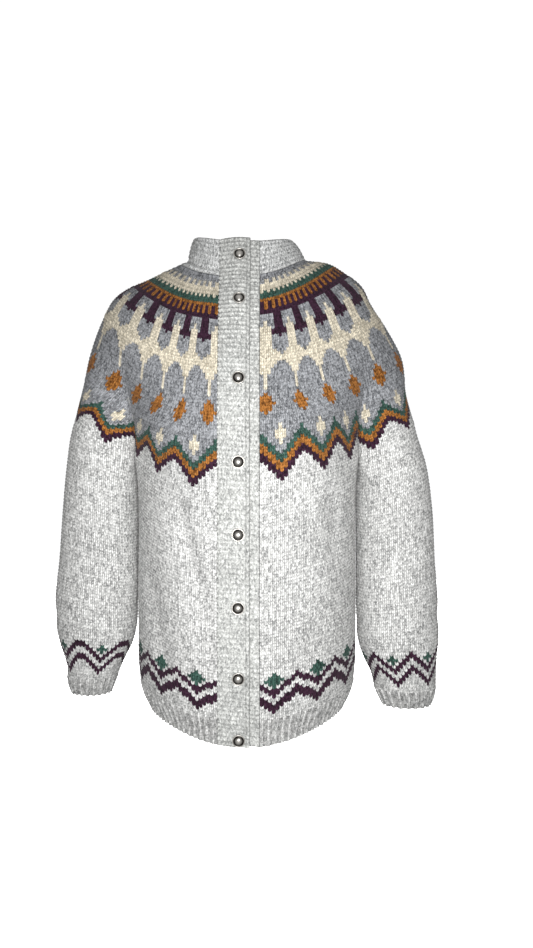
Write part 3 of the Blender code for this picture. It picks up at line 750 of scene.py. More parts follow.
def raised(tree, given):
    """Geometry Nodes: legs and ribs raised from a wall along its outward directions, each leg with its own tone."""
    crest = add_node(tree, "GeometryNodeInputNamedAttribute", {"Name": "crest"}, data_type="FLOAT")
    rib = add_node(tree, "GeometryNodeInputNamedAttribute", {"Name": "rib"}, data_type="FLOAT")
    out = add_node(tree, "GeometryNodeInputNamedAttribute", {"Name": "out"}, data_type="FLOAT_VECTOR")
    leg = add_node(tree, "GeometryNodeInputNamedAttribute", {"Name": "leg"}, data_type="INT")
    lumps = add_node(tree, "ShaderNodeTexNoise", {"Scale": 160, "Detail": 1})
    centred = add_node(tree, "ShaderNodeMath", {0: crest.outputs[0], 1: 0.5}, operation="SUBTRACT")
    legs = add_node(tree, "ShaderNodeMath", {0: centred.outputs[0], 1: given["Leg relief"]}, operation="MULTIPLY")
    ribs = add_node(tree, "ShaderNodeMath", {0: rib.outputs[0], 1: given["Rib relief"], 2: legs.outputs[0]},
                    operation="MULTIPLY_ADD")
    uneven = add_node(tree, "ShaderNodeMath", {0: lumps.outputs["Fac"], 1: 0.5}, operation="SUBTRACT")
    total = add_node(tree, "ShaderNodeMath", {0: uneven.outputs[0], 1: given["Unevenness"], 2: ribs.outputs[0]},
                     operation="MULTIPLY_ADD")
    offset = add_node(tree, "ShaderNodeVectorMath", {0: out.outputs[0], "Scale": total.outputs[0]},
                      operation="SCALE")
    moved = add_node(tree, "GeometryNodeSetPosition", {"Geometry": given["Geometry"], "Offset": offset.outputs[0]})
    random = add_node(tree, "FunctionNodeRandomValue", {"ID": leg.outputs[0], "Seed": given["Seed"]},
                      data_type="FLOAT")
    toned = add_node(tree, "GeometryNodeStoreNamedAttribute",
                     {"Geometry": moved.outputs[0], "Name": "tone", "Value": random.outputs[1]},
                     data_type="FLOAT", domain="FACE")
    return toned.outputs[0]


def haloed(tree, given, wall):
    """Geometry Nodes: the wool's halo, thin slivers that stand or lie on the stitches and take their yarn."""
    leg = add_node(tree, "GeometryNodeInputNamedAttribute", {"Name": "leg"}, data_type="INT")
    on_wall = add_node(tree, "GeometryNodeInputNamedAttribute", {"Name": "yarn"}, data_type="INT")
    on_stitch = add_node(tree, "FunctionNodeCompare", {2: leg.outputs[0], 3: 0}, data_type="INT",
                         operation="GREATER_THAN")
    roots = add_node(tree, "GeometryNodeDistributePointsOnFaces",
                     {"Mesh": wall, "Selection": on_stitch.outputs[0], "Density": given["Fibres"],
                      "Seed": given["Seed"]})
    lean = add_node(tree, "FunctionNodeRandomValue", {0: (-1.3, -1.3, 0), 1: (1.3, 1.3, 6.3), "Seed": given["Seed"]},
                    data_type="FLOAT_VECTOR")
    turned = add_node(tree, "FunctionNodeRotateRotation",
                      {"Rotation": roots.outputs["Rotation"], "Rotate By": lean.outputs[0]}, rotation_space="LOCAL")
    size = add_node(tree, "FunctionNodeRandomValue", {2: 0.35, 3: 1.0, "Seed": given["Seed"]}, data_type="FLOAT")
    half = add_node(tree, "ShaderNodeMath", {0: given["Fibre width"], 1: 0.5}, operation="MULTIPLY")
    sliver = add_node(tree, "GeometryNodeMeshCone", {"Vertices": 3, "Side Segments": 1, "Radius Top": 0.0,
                                                     "Radius Bottom": half.outputs[0],
                                                     "Depth": given["Fibre length"]})
    halo = add_node(tree, "GeometryNodeInstanceOnPoints",
                    {"Points": roots.outputs["Points"], "Instance": sliver.outputs["Mesh"],
                     "Rotation": turned.outputs[0], "Scale": size.outputs[1]})
    yarn = add_node(tree, "GeometryNodeStoreNamedAttribute",
                    {"Geometry": halo.outputs[0], "Name": "fibre_yarn", "Value": on_wall.outputs[0]},
                    data_type="INT", domain="INSTANCE")
    # Each hair gets a full crest, so the wool's painted hollow shade leaves it undarkened.
    high = add_node(tree, "GeometryNodeStoreNamedAttribute", {"Geometry": yarn.outputs[0], "Name": "crest",
                                                              "Value": 1.0}, data_type="FLOAT", domain="INSTANCE")
    geometry = high.outputs[0]
    for name in ("yarn", "leg", "tone", "out", "rib"):
        geometry = add_node(tree, "GeometryNodeRemoveAttribute", {"Geometry": geometry, "Name": name}).outputs[0]
    return geometry


def stitch_tree(yarns):
    """Raises the stitches of a knitted wall, grows its halo, and gives each stitch the wool of its yarn."""
    tree = new_tree("Knit stitches", (("Leg relief", "Float"), ("Rib relief", "Float"), ("Unevenness", "Float"),
                                      ("Fibres", "Float"), ("Fibre length", "Float"), ("Fibre width", "Float"),
                                      ("Seed", "Int")))
    given = add_node(tree, "NodeGroupInput").outputs
    wall = raised(tree, given)
    joined = add_node(tree, "GeometryNodeJoinGeometry")
    for part in (wall, haloed(tree, given, wall)):
        tree.links.new(part, joined.inputs[0])
    real = add_node(tree, "GeometryNodeRealizeInstances", {"Geometry": joined.outputs[0]})
    on_wall = add_node(tree, "GeometryNodeInputNamedAttribute", {"Name": "yarn"}, data_type="INT")
    on_fibre = add_node(tree, "GeometryNodeInputNamedAttribute", {"Name": "fibre_yarn"}, data_type="INT")
    number = add_node(tree, "ShaderNodeMath", {0: on_wall.outputs[0], 1: on_fibre.outputs[0]}, operation="ADD")
    geometry = real.outputs[0]
    for index, material in enumerate(yarns):
        chosen = add_node(tree, "FunctionNodeCompare", {0: number.outputs[0], 1: index + 1.0, "Epsilon": 0.1},
                          data_type="FLOAT", operation="EQUAL")
        paint = add_node(tree, "GeometryNodeSetMaterial",
                         {"Geometry": geometry, "Selection": chosen.outputs[0], "Material": material})
        geometry = paint.outputs[0]
    add_node(tree, "NodeGroupOutput", {"Geometry": geometry})
    return tree


def sewn_on_tree(metal):
    """Sets one button on each point, facing out, each turned a little differently."""
    tree = new_tree("Buttons sewn on", (("Button", "Object"), ("Diameter", "Float"), ("Turn", "Float"),
                                        ("Seed", "Int")))
    given = add_node(tree, "NodeGroupInput").outputs
    button = add_node(tree, "GeometryNodeObjectInfo", {"Object": given["Button"]})
    out = add_node(tree, "GeometryNodeInputNamedAttribute", {"Name": "out"}, data_type="FLOAT_VECTOR")
    facing = add_node(tree, "FunctionNodeAlignRotationToVector", {"Vector": out.outputs[0]}, axis="Z")
    back = add_node(tree, "ShaderNodeMath", {0: given["Turn"], 1: -1.0}, operation="MULTIPLY")
    spin = add_node(tree, "FunctionNodeRandomValue", {2: back.outputs[0], 3: given["Turn"], "Seed": given["Seed"]},
                    data_type="FLOAT")
    about = add_node(tree, "ShaderNodeCombineXYZ", {"Z": spin.outputs[1]})
    turned = add_node(tree, "FunctionNodeRotateRotation", {"Rotation": facing.outputs[0],
                                                           "Rotate By": about.outputs[0]}, rotation_space="LOCAL")
    placed = add_node(tree, "GeometryNodeInstanceOnPoints",
                      {"Points": given["Geometry"], "Instance": button.outputs["Geometry"],
                       "Rotation": turned.outputs[0], "Scale": given["Diameter"]})
    real = add_node(tree, "GeometryNodeRealizeInstances", {"Geometry": placed.outputs[0]})
    paint = add_node(tree, "GeometryNodeSetMaterial", {"Geometry": real.outputs[0], "Material": metal})
    add_node(tree, "NodeGroupOutput", {"Geometry": paint.outputs[0]})
    return tree


def run_tree(item, tree, sizes):
    """Runs a Geometry Nodes tree on an object and leaves its result as the object's plain mesh."""
    modifier = item.modifiers.new(tree.name, "NODES")
    modifier.node_group = tree
    for socket in tree.interface.items_tree:
        if socket.in_out == "INPUT" and socket.name in sizes:
            modifier[socket.identifier] = sizes[socket.name]
    depsgraph = bpy.context.evaluated_depsgraph_get()
    mesh = bpy.data.meshes.new_from_object(item.evaluated_get(depsgraph), depsgraph=depsgraph)
    item.modifiers.remove(modifier)
    old, item.data = item.data, mesh
    bpy.data.meshes.remove(old)
    mesh.name = item.name
    if not mesh.polygons:
        raise RuntimeError(f"{item.name}: the {tree.name} tree made no faces")


def settle(item, nodes):
    """Puts a finished piece in the place of its CAD nodes."""
    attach(item, "root")
    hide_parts(*nodes)


# ---------------------------------------------------------------------------------------------------------------------
# The pieces.

WALL = 3.0 * MM
YOKE_WALL = 3.5 * MM
# The inner face of a wall is plain and needs few points: one column for these stitches and one row for these.
PLAIN_WALES = 2
PLAIN_ROWS = 4
BODY_SIDES = (41, 129)
HEM_RIB_ROWS = 9
CUFF_RIB_ROWS = 6
CUFF_WALES = 40
DECREASE_HEIGHT = 0.4 * MM
RIDGE_ROWS = 4
RIDGE_WAVE = 0.3
# The bumps of ridged knitting, and the links of an edge chain, as shares of the leg relief.
# The same shares set how dark the wool is painted between bumps and links, as shade.
BUMP_CREST, BUMP_SWELL = 0.6, 0.4
LINK_CREST, LINK_HOLLOW = 0.8, 0.1
LINK_HALF_WIDTH = 0.3
# The height of a ridge, as a share of the rib relief.
NECKBAND_RIDGE, BAND_RIDGE, CHAIN_RIDGE = 0.4, 0.65, 0.1
NECKBAND_STITCHES = 84
BAND_STITCHES = 8
# The share of each yarn's tufts that are dark.
FLECKED = {"light": 0.2, "middle": 0.3, "cream": 0.08, "green": 0.25, "ochre": 0.3, "aubergine": 0.25, "band": 0.15,
           "collar": 0.25}
FLOOR_HEIGHT = -1.05
FLOOR_REACH = 4.0
LAMP_SIZE, LAMP_SPREAD = 0.5, 75
LAMPS = (("Front lamp", (0.03, -1.4, -0.35), 90), ("Back lamp", (-0.03, 1.4, -0.35), -90))
FLOOR_LAMP_SIZE, FLOOR_LAMP_SPREAD, FLOOR_LAMP_HEIGHT = 8, 180, 3
WHITE_ROOM = 1.05
# The photograph is seen from a little above the garment's middle, 1.35 m away and almost level.  It is 948 pixels high,
# and its focal length is judged at 900 pixels.
CAMERA_PLACE, CAMERA_TILT = (0.029, -1.35, -0.282), 88.5
PHOTO_HEIGHT, FOCAL_LENGTH, SENSOR_HEIGHT = 948, 900, 36
BUTTONHOLE_BAND = table("across out", (-36.7, 0.2), (-14, 2.2), (6.5, 2.4))
BUTTON_BAND = table("across out", (-18, -4.5), (8.5, -3.0), (19.7, 0.0))
# A button's turned profile, for a diameter of 1: radius, height, and how rubbed the metal is there.
BUTTON_SIDES = 28
BUTTON_SEED = 3
BUTTON_PROFILE = (
    (0, -0.14, 0), (0.13, -0.14, 0), (0.13, 0, 0), (0.43, 0, 0.2), (0.48, 0.017, 0.5), (0.5, 0.057, 0.7),
    (0.491, 0.097, 1), (0.463, 0.114, 1), (0.42, 0.1, 0.4), (0.385, 0.05, 0), (0.345, 0.045, 0), (0.31, 0.09, 0.1),
    (0.245, 0.14, 0.4), (0.15, 0.18, 0.7), (0.07, 0.197, 0.9), (0, 0.2, 1),
)


def wale_places(first, last, wales=None):
    """Columns at a quarter of a stitch over a run of stitches."""
    return np.linspace(first, last, LEG_COLUMNS * (wales or last - first) + 1)


def zigzag_yarns(rows, wales, chart, first_row, points, closed=False):
    """The yarn of each stitch of a tube, its rows running down, with a charted zigzag above its rib."""
    wale = np.arange(wales)
    turns = (-wales, 0, wales) if closed else (0,)
    away = np.min([np.abs(wale - point + turn) for point in points for turn in turns], axis=0)
    yarn = np.zeros((rows, wales), int)
    for row in range(len(chart)):
        yarn[rows - 1 - first_row - row] = [chart_yarn(chart, row, a) for a in away]
    return yarn


def knit_wall(piece, surface, wall, yarn, places, plain_places, levels, plain_levels, closed=False, **options):
    """A closed wall: a knitted outer face, a plain inner one, and their edges."""
    grid = surface(places, levels)
    if closed:
        grid = grid[:, :-1]
    outer = knit_face(piece, grid, closed, yarn, **options)
    plain = surface(plain_places, plain_levels)
    if closed:
        plain = plain[:, :-1]
    inner = piece.add_points(plain - wall * outward(plain, closed))
    if closed:
        inner = np.concatenate((inner, inner[:, :1]), axis=1)
    piece.add_quads(inner[:, ::-1], PLAIN, 0)
    close_wall(piece, outer, inner, closed)


def knit_body():
    """Two pieces that meet under the arms: both fronts, and the back."""
    yarn = zigzag_yarns(BODY_ROWS, BODY_MARKS[5], HEM_CHART, HEM_FIRST_ROW, HEM_POINTS)
    levels = np.linspace(0, 1, HALF_ROWS * BODY_ROWS + 1)
    plain_levels = np.linspace(0, 1, BODY_ROWS // PLAIN_ROWS + 1)
    left, right = BODY_SIDES
    spans = {"knit_body_fronts": ((0, left), (right, BODY_MARKS[5])), "knit_body_back": ((left, right),)}
    made = []
    for name, runs in spans.items():
        piece = Knitting()
        for first, last in runs:
            plain = np.linspace(first, last, (last - first) // PLAIN_WALES + 1)
            knit_wall(piece, torso_grid, WALL, yarn[:, first:last], wale_places(first, last), plain, levels,
                      plain_levels, fade_top=False)
        made.append(piece.make(name))
    return made


def rib_rise(wales):
    """Rise of a one-and-one rib's columns: a knit wale stands up and the purl wale beside it lies low."""
    column = np.arange(LEG_COLUMNS * wales)
    side = np.where(column // LEG_COLUMNS % 2, -1.0, 1.0)
    return np.where(column % LEG_COLUMNS, side, 0.0)


def knit_hem_rib():
    """The ribbed hem, open at the front."""
    rows, wales = HEM_RIB_ROWS, BODY_MARKS[5]
    piece = Knitting()
    knit_wall(
        piece, torso_grid, WALL, np.zeros((rows, wales), int), wale_places(0, wales),
        np.linspace(0, wales, wales // PLAIN_WALES + 1), np.linspace(1, 2, HALF_ROWS * rows + 1),
        np.linspace(1, 2, 4), rib=np.append(rib_rise(wales), 0.0),
    )
    return piece.make("knit_hem_rib")


def knit_sleeve(name, point, cuff_end, points):
    """A sleeve and its cuff."""
    wales = SLEEVE_STITCHES + UNDERARM_STITCHES

    def surface(stitches, levels):
        return tube_grid(point, stitches, levels, cuff_end + CUFF_HEIGHT, cuff_end)

    sleeve, cuff = Knitting(), Knitting()
    plain = np.linspace(0, wales, wales // PLAIN_WALES + 1)
    yarn = zigzag_yarns(SLEEVE_ROWS, wales, CUFF_CHART, CUFF_FIRST_ROW, points, closed=True)
    knit_wall(sleeve, surface, WALL, yarn, wale_places(0, wales), plain,
              np.linspace(0, 1, HALF_ROWS * SLEEVE_ROWS + 1), np.linspace(0, 1, SLEEVE_ROWS // PLAIN_ROWS + 1),
              closed=True, fade_top=False)
    rows = CUFF_RIB_ROWS
    knit_wall(cuff, surface, WALL, np.zeros((rows, CUFF_WALES), int), wale_places(0, wales, CUFF_WALES),
              np.linspace(0, wales, CUFF_WALES + 1), np.linspace(1, 2, HALF_ROWS * rows + 1),
              np.linspace(1, 2, 3), closed=True, rib=rib_rise(CUFF_WALES))
    return sleeve.make("knit_sleeve_" + name), cuff.make("knit_cuff_" + name)


# How the worn yoke's stitches lie, by the count of stitches from a front edge, on the left and the right front.
# From the climb begins to the climb ends, in mm, they come to be drawn so many stitches towards the edge.  The rows lie
# sunk rows lower.
LIE = table(
    "from_edge left_drawn left_begins left_ends left_sunk right_drawn right_begins right_ends right_sunk",
    (0, 0, 75, 120, 0, 0, 45, 107, 3.0),
    (7, 0.3, 75, 120, 0.5, 1.4, 45, 107, 3.7),
    (16, 2.9, 65, 122, 1.2, 5.0, 40, 107, 4.7),
    (25, 5.4, 30, 135, 2.0, 8.5, 30, 108, 5.6),
    (35, 7.6, 0, 145, 2.9, 11.8, 18, 110, 6.2),
    (43, 8.8, 0, 150, 3.6, 13.4, 12, 112, 6.4),
    (55, 8.7, 0, 140, 4.4, 13.6, 10, 115, 6.6),
    (72, 6.6, 0, 125, 4.8, 11.4, 10, 120, 5.8),
    (102, 3.0, 0, 125, 2.4, 5.0, 10, 125, 3.0),
    (126, 0, 0, 125, 0, 0, 10, 125, 0),
    unit=1,
)
ROW_CLIMB = YOKE_CLIMB / len(YOKE_CHART)
RING_STEP = 2.0 * MM
# Climbs by which the rows have sunk, between which they rise a little, and between which they come level again.
SUNK_BY = 80 * MM
RISE, RISE_SHARE = (105 * MM, 140 * MM), 0.25
LEFT_LEVEL, RIGHT_LEVEL = (195 * MM, 255 * MM), (265 * MM, 343 * MM)


def eased(value, start, end):
    """0 before start, 1 past end, and a smooth rise between them."""
    share = np.clip((value - start) / (end - start), 0, 1)
    return share**2 * (3 - 2 * share)


def lying(stitches, column):
    """A column of how the yoke lies, at each stitch round it."""
    from_edge = np.minimum(stitches, YOKE_MARKS[5] - stitches)
    left, right = (along(LIE, side + column, from_edge, "from_edge") for side in ("left_", "right_"))
    return np.where(stitches < YOKE_MARKS[5] / 2, left, right)


def yoke_surface(stitches, climbs):
    """The yoke and neckband with their stitches and rows as they lie.  Rows run down."""
    levels = np.arange(0, YOKE_CLIMB + NECKBAND_HEIGHT + RING_STEP, RING_STEP)
    levels[-1] = YOKE_CLIMB + NECKBAND_HEIGHT
    drawn = lying(stitches, "drawn")
    on_left = stitches < YOKE_MARKS[5] / 2
    begins, ends = MM * lying(stitches, "begins"), MM * lying(stitches, "ends")
    rings = []
    for level in levels:
        share = np.clip(1 - level / CREASE_CLIMB, 0, 1)
        places = stitches + drawn * np.where(on_left, -1, 1) * eased(level, begins, ends)
        ring = yoke_ring(places, level)
        if share > 0:
            ring = ring + (yoke_base(places) - yoke_ring(places, 0)) * share**2 * (3 - 2 * share)
        rings.append(ring)
    rings = np.array(rings)
    climbs = np.asarray(climbs)[:, None]
    level_again = np.where(on_left, eased(climbs, *LEFT_LEVEL), eased(climbs, *RIGHT_LEVEL))
    sunk = eased(climbs, 0, SUNK_BY) * (1 - RISE_SHARE * eased(climbs, *RISE)) * (1 - level_again)
    place = np.clip((climbs - ROW_CLIMB * lying(stitches, "sunk") * sunk) / RING_STEP, 0, len(levels) - 1)
    low = np.minimum(place.astype(int), len(levels) - 2)
    share = (place - low)[..., None]
    column = np.arange(len(stitches))[None, :]
    return rings[low, column] * (1 - share) + rings[low + 1, column] * share


def yoke_zones(first, last):
    """Runs of chart rows with the same count of stitches, from the top down: (first row, last row, repeat)."""
    zones, start = [], first
    for row in range(first + 1, last + 1):
        if row == last or len(YOKE_CHART[row]) != len(YOKE_CHART[start]):
            zones.append((start, row, 2 * (len(YOKE_CHART[start]) - 1)))
            start = row
    return zones[::-1]


def knit_yoke(name, first, last):
    """Part of the yoke between two rows of its chart."""
    piece = Knitting()
    lines, above = [], None
    for low, high, repeat in yoke_zones(first, last):
        at_left, at_right = EDGE_STITCHES[repeat]
        wales = repeat * YOKE_REPEATS + at_left + at_right
        gap = DECREASE_HEIGHT if low > first else 0
        climbs = np.linspace(high * ROW_CLIMB, low * ROW_CLIMB + gap, HALF_ROWS * (high - low) + 1)
        away = np.abs((np.arange(wales) - at_left) % repeat - (repeat // 2 - 1))
        yarn = np.array([[chart_yarn(YOKE_CHART, row, a) for a in away] for row in range(high - 1, low - 1, -1)])
        grid = yoke_surface(wale_places(0, YOKE_MARKS[5], wales), climbs)
        outer = knit_face(piece, grid, False, yarn, fade_end=low > 0)
        if above is not None:
            piece.add_strip(above, outer[0], yarn=yarn[0])
        above = outer[-1]
        lines.append(outer)
    plain_climbs = np.linspace(last * ROW_CLIMB, first * ROW_CLIMB, (last - first) // PLAIN_ROWS + 1)
    plain = yoke_surface(np.linspace(0, YOKE_MARKS[5], YOKE_MARKS[5] // PLAIN_WALES + 1), plain_climbs)
    inner = piece.add_points(plain - YOKE_WALL * outward(plain, False))
    piece.add_quads(inner[:, ::-1], PLAIN, 0)
    start = np.concatenate([outer[:, 0] for outer in lines])
    end = np.concatenate([outer[:, -1] for outer in lines])
    piece.add_strip(inner[0], lines[0][0])
    piece.add_strip(lines[-1][-1], inner[-1])
    piece.add_strip(start, inner[:, 0])
    piece.add_strip(inner[:, -1], end)
    return piece.make(name)


def ridge_face(piece, grid, ridges, stitches, yarn, height, chain=0):
    """Ridged knitting: rows of small bumps, the bumps of each ridge set between those of the ridge below.

    height is a ridge's share of the rib relief.  The last columns may be an edge chain, whose links are as long as a
    ridge.
    """
    rows, columns = grid.shape[:2]
    row = np.arange(rows)[:, None] / (rows - 1) * ridges
    place = np.arange(columns)[None, :] / (columns - 1) * (stitches + chain)
    in_chain = place >= stitches
    normal = outward(grid, False)
    wave = np.cos(2 * math.pi * place)
    edge = np.clip(np.minimum(row, ridges - row) * 2, 0, 1)
    ridge = -np.cos(2 * math.pi * row)
    link = place % 1
    drop = np.where(in_chain, (1 - np.abs(2 * link - 1)) * 0.5, RIDGE_WAVE * wave * ridge)
    step = grid[1:] - grid[:-1]
    step = np.concatenate((step, step[-1:]))
    moved = grid + step * (drop * edge * (rows - 1) / ridges)[..., None]
    # Where the crest is low, between bumps and links, the wool is painted darker as shade.
    chain_crest = np.where(np.abs(link - 0.5) < LINK_HALF_WIDTH, LINK_CREST, LINK_HOLLOW) * (0.7 + 0.3 * ridge)
    crest = np.where(in_chain, chain_crest, BUMP_CREST + BUMP_SWELL * ridge * (0.5 + 0.5 * wave))
    rib = np.where(in_chain, CHAIN_RIDGE, ridge * height)
    numbers = piece.add_points(moved, normal, crest, rib)
    legs = piece.legs + 1 + (np.floor(row[:-1] * 2) * (stitches + chain) * 2 + np.floor(place[:, :-1] * 2)).astype(int)
    piece.legs = int(legs.max())
    piece.add_quads(numbers, yarn, legs)
    return numbers


def knit_neckband():
    """The ridged neckband, which goes on from the yoke."""
    piece = Knitting()
    top, base = YOKE_CLIMB + NECKBAND_HEIGHT, YOKE_CLIMB
    climbs = np.linspace(top, base, RIDGE_ROWS * NECKBAND_RIDGES + 1)
    grid = yoke_surface(wale_places(0, YOKE_MARKS[5], NECKBAND_STITCHES), climbs)
    outer = ridge_face(piece, grid, NECKBAND_RIDGES, NECKBAND_STITCHES, COLLAR_YARN, NECKBAND_RIDGE)
    plain = yoke_surface(np.linspace(0, YOKE_MARKS[5], NECKBAND_STITCHES), np.linspace(top, base, 6))
    inner = piece.add_points(plain - YOKE_WALL * outward(plain, False))
    piece.add_quads(inner[:, ::-1], COLLAR_YARN, 0)
    close_wall(piece, outer, inner, False)
    return piece.make("knit_neckband")


def knit_band(name, profile, stitches, chain=0):
    """A band of ridged knitting down a front, from the neckband's top to the hem."""
    left, _ = front_edges()
    length = np.linalg.norm(np.diff(left, axis=0), axis=1).sum()
    ridges = round(length / BAND_RIDGE_PITCH)
    panel = FrontPanel(RIDGE_ROWS * ridges + 1)
    across = np.linspace(profile["across"][0], profile["across"][-1], LEG_COLUMNS * (stitches + chain) + 1)
    out = along(profile, "out", across, "across")
    even = np.ones(RIDGE_ROWS * ridges + 1)
    grid = np.stack([panel.line(a, o * even) for a, o in zip(across, out)], 1)[::-1]
    piece = Knitting()
    outer = ridge_face(piece, grid, ridges, stitches, BAND_YARN, BAND_RIDGE, chain)
    columns = np.linspace(0, len(across) - 1, 5).astype(int)
    plain = np.stack([panel.line(across[c], (out[c] - BAND_WALL) * even) for c in columns], 1)[::-1][::RIDGE_ROWS]
    inner = piece.add_points(plain)
    piece.add_quads(inner[:, ::-1], BAND_YARN, 0)
    close_wall(piece, outer, inner, False)
    return piece.make(name)


def turned_button():
    """One button, 1 m across, turned about Z: the sewn-on tree scales it."""
    work = bmesh.new()
    worn = work.verts.layers.float.new("worn")
    loops = []
    for radius, rise, rubbed in BUTTON_PROFILE:
        turns = [2 * math.pi * k / BUTTON_SIDES for k in range(BUTTON_SIDES)] if radius else [0]
        loop = [work.verts.new((radius * math.cos(t), radius * math.sin(t), rise)) for t in turns]
        for vertex in loop:
            vertex[worn] = rubbed
        loops.append(loop * (BUTTON_SIDES // len(loop)))
    for below, above in zip(loops, loops[1:]):
        for k in range(BUTTON_SIDES):
            n = (k + 1) % BUTTON_SIDES
            work.faces.new(list(dict.fromkeys((below[k], below[n], above[n], above[k]))))
    bmesh.ops.recalc_face_normals(work, faces=work.faces)
    mesh = bpy.data.meshes.new("turned_button")
    work.to_mesh(mesh)
    work.free()
    mesh.shade_smooth()
    return in_scene("turned_button", mesh)


def button_places():
    """A point for each button, just clear of the band, with its outward direction."""
    panel = FrontPanel(BUTTON_PLACES)
    surface = panel.line(BUTTON_ACROSS, np.full(BUTTON_PLACES, BUTTON_STANDOFF))
    rows = [int(np.argmin(np.abs(surface[:, 2] - height))) for height in BUTTON_HEIGHTS]
    mesh = bpy.data.meshes.new("pewter_buttons")
    mesh.from_pydata([tuple(surface[row]) for row in rows], [], [])
    mesh.attributes.new("out", "FLOAT_VECTOR", "POINT").data.foreach_set("vector", panel.normal[rows].ravel())
    return in_scene("pewter_buttons", mesh)


def wide_floor():
    """A flat floor that fills the view."""
    points = [(x, y, FLOOR_HEIGHT) for y in (-FLOOR_REACH, FLOOR_REACH) for x in (-FLOOR_REACH, FLOOR_REACH)]
    mesh = bpy.data.meshes.new("studio_floor")
    mesh.from_pydata(points, [], [(0, 1, 3, 2)])
    return in_scene("studio_floor", mesh)


def soft_lamp(name, power, size, spread, place, turn):
    """A square soft lamp.  It shines down until it is turned about X, in degrees."""
    lamp = in_scene(name, bpy.data.lights.new(name, "AREA"))
    lamp.data.energy, lamp.data.size, lamp.data.spread = power, size, math.radians(spread)
    lamp.location, lamp.rotation_euler = place, (math.radians(turn), 0, 0)
    return lamp


# ---------------------------------------------------------------------------------------------------------------------
# Sizes and colours that a user would change.


def colour_property(name, code, description):
    """A colour that the user sets, from a hex code."""
    return bpy.props.FloatVectorProperty(name=name, description=description, default=linear(code), size=3, min=0,
                                         max=1, subtype="COLOR")


def length_property(name, default, description):
    """A length in metres that the user sets."""
    return bpy.props.FloatProperty(name=name, description=description, default=default, min=0, precision=5,
                                   unit="LENGTH")


class KnitSettings(bpy.types.PropertyGroup):
    """How the stitches stand out, and their halo."""

    leg_relief: length_property("Leg relief", 1.4 * MM, "Height of a stitch's legs above the hollows")
    rib_relief: length_property("Rib relief", 1.1 * MM, "Half the height between a rib or ridge and its valley")
    unevenness: length_property("Unevenness", 0.7 * MM, "How far hand-knit cloth wanders in and out")
    fibre_length: length_property("Fibre length", 5.0 * MM, "Longest hair of the wool's halo")
    fibre_width: length_property("Fibre width", 0.2 * MM, "Thickness of a drawn hair at its root")
    fibres: bpy.props.FloatProperty(name="Fibres", description="Hairs on a square metre of cloth", default=30000,
                                    min=0)
    seed: bpy.props.IntProperty(name="Seed", description="Changes the tones and hairs of the stitches", default=7)


class YarnSettings(bpy.types.PropertyGroup):
    """The main colour of each yarn, and its dark fibres."""

    __annotations__ = {
        key: colour_property(*entry)
        for label, title, main, fleck in YARNS
        for key, entry in (
            (label, (title, main, "Main colour of the " + title.lower())),
            (label + "_fleck", (title + " fleck", fleck, "Dark fibres in the " + title.lower())),
        )
    }


class ButtonSettings(bpy.types.PropertyGroup):
    """The metal buttons."""

    diameter: length_property("Diameter", 17.5 * MM, "Diameter of a button")
    turn: bpy.props.FloatProperty(name="Turn", description="Most that a sewn button is turned either way",
                                  default=math.radians(40), subtype="ANGLE")
    bright: colour_property("Rubbed metal", "#A3A09B", "Colour of the metal where it is rubbed")
    groove: colour_property("Groove", "#1B1917", "Colour of the metal in its grooves")


class StudioSettings(bpy.types.PropertyGroup):
    """The floor and the lights."""

    floor: colour_property("Floor", "#F6F6F5", "Colour of the floor")
    sky: bpy.props.FloatProperty(name="Sky", description="Strength of the even light from all round", default=0.2,
                                 min=0)
    lamp: bpy.props.FloatProperty(name="Lamps", description="Power of each of the soft lamps in front and behind",
                                  default=5.1, min=0, subtype="POWER", unit="POWER")
    floor_lamp: bpy.props.FloatProperty(name="Floor lamp", description="Power of the lamp that whitens the floor",
                                        default=1500, min=0, subtype="POWER", unit="POWER")


# ---------------------------------------------------------------------------------------------------------------------
# Operators.


def knit_tree(context):
    """The stitch tree, made once."""
    if "Knit stitches" not in bpy.data.node_groups:
        colours = context.scene.cardigan_yarns
        stitch_tree([
            wool(title, getattr(colours, label), getattr(colours, label + "_fleck"), FLECKED[label])
            for label, title, _, _ in YARNS
        ])
    return bpy.data.node_groups["Knit stitches"]


def finish_knit(context, item, node):
    """Raises a piece's stitches and puts it in its node's place."""
    knit = context.scene.cardigan_knit
    sizes = {"Leg relief": knit.leg_relief, "Rib relief": knit.rib_relief, "Unevenness": knit.unevenness,
             "Fibres": knit.fibres, "Fibre length": knit.fibre_length, "Fibre width": knit.fibre_width,
             "Seed": knit.seed}
    run_tree(item, knit_tree(context), sizes)
    settle(item, [node])


class CARDIGAN_OT_body(bpy.types.Operator):
    """Knit both fronts and the back, in one with each other, with the hem's zigzag"""

    bl_idname = "cardigan.body"
    bl_label = "Knit the body"

    def execute(self, context):
        fronts, back = knit_body()
        finish_knit(context, fronts, "body")
        finish_knit(context, back, "body")
        return {"FINISHED"}


class CARDIGAN_OT_hem_rib(bpy.types.Operator):
    """Knit the ribbed hem"""

    bl_idname = "cardigan.hem_rib"
    bl_label = "Knit the hem rib"

    def execute(self, context):
        finish_knit(context, knit_hem_rib(), "hem_rib")
        return {"FINISHED"}


class CARDIGAN_OT_sleeves(bpy.types.Operator):
    """Knit both sleeves and their ribbed cuffs"""

    bl_idname = "cardigan.sleeves"
    bl_label = "Knit the sleeves and cuffs"

    def execute(self, context):
        for side, point, end, points in (
            ("left", left_sleeve_point, LEFT_CUFF_END, LEFT_CUFF_POINTS),
            ("right", right_sleeve_point, RIGHT_CUFF_END, RIGHT_CUFF_POINTS),
        ):
            sleeve, cuff = knit_sleeve(side, point, end, points)
            finish_knit(context, sleeve, "sleeve_" + side)
            finish_knit(context, cuff, "cuff_" + side)
        return {"FINISHED"}


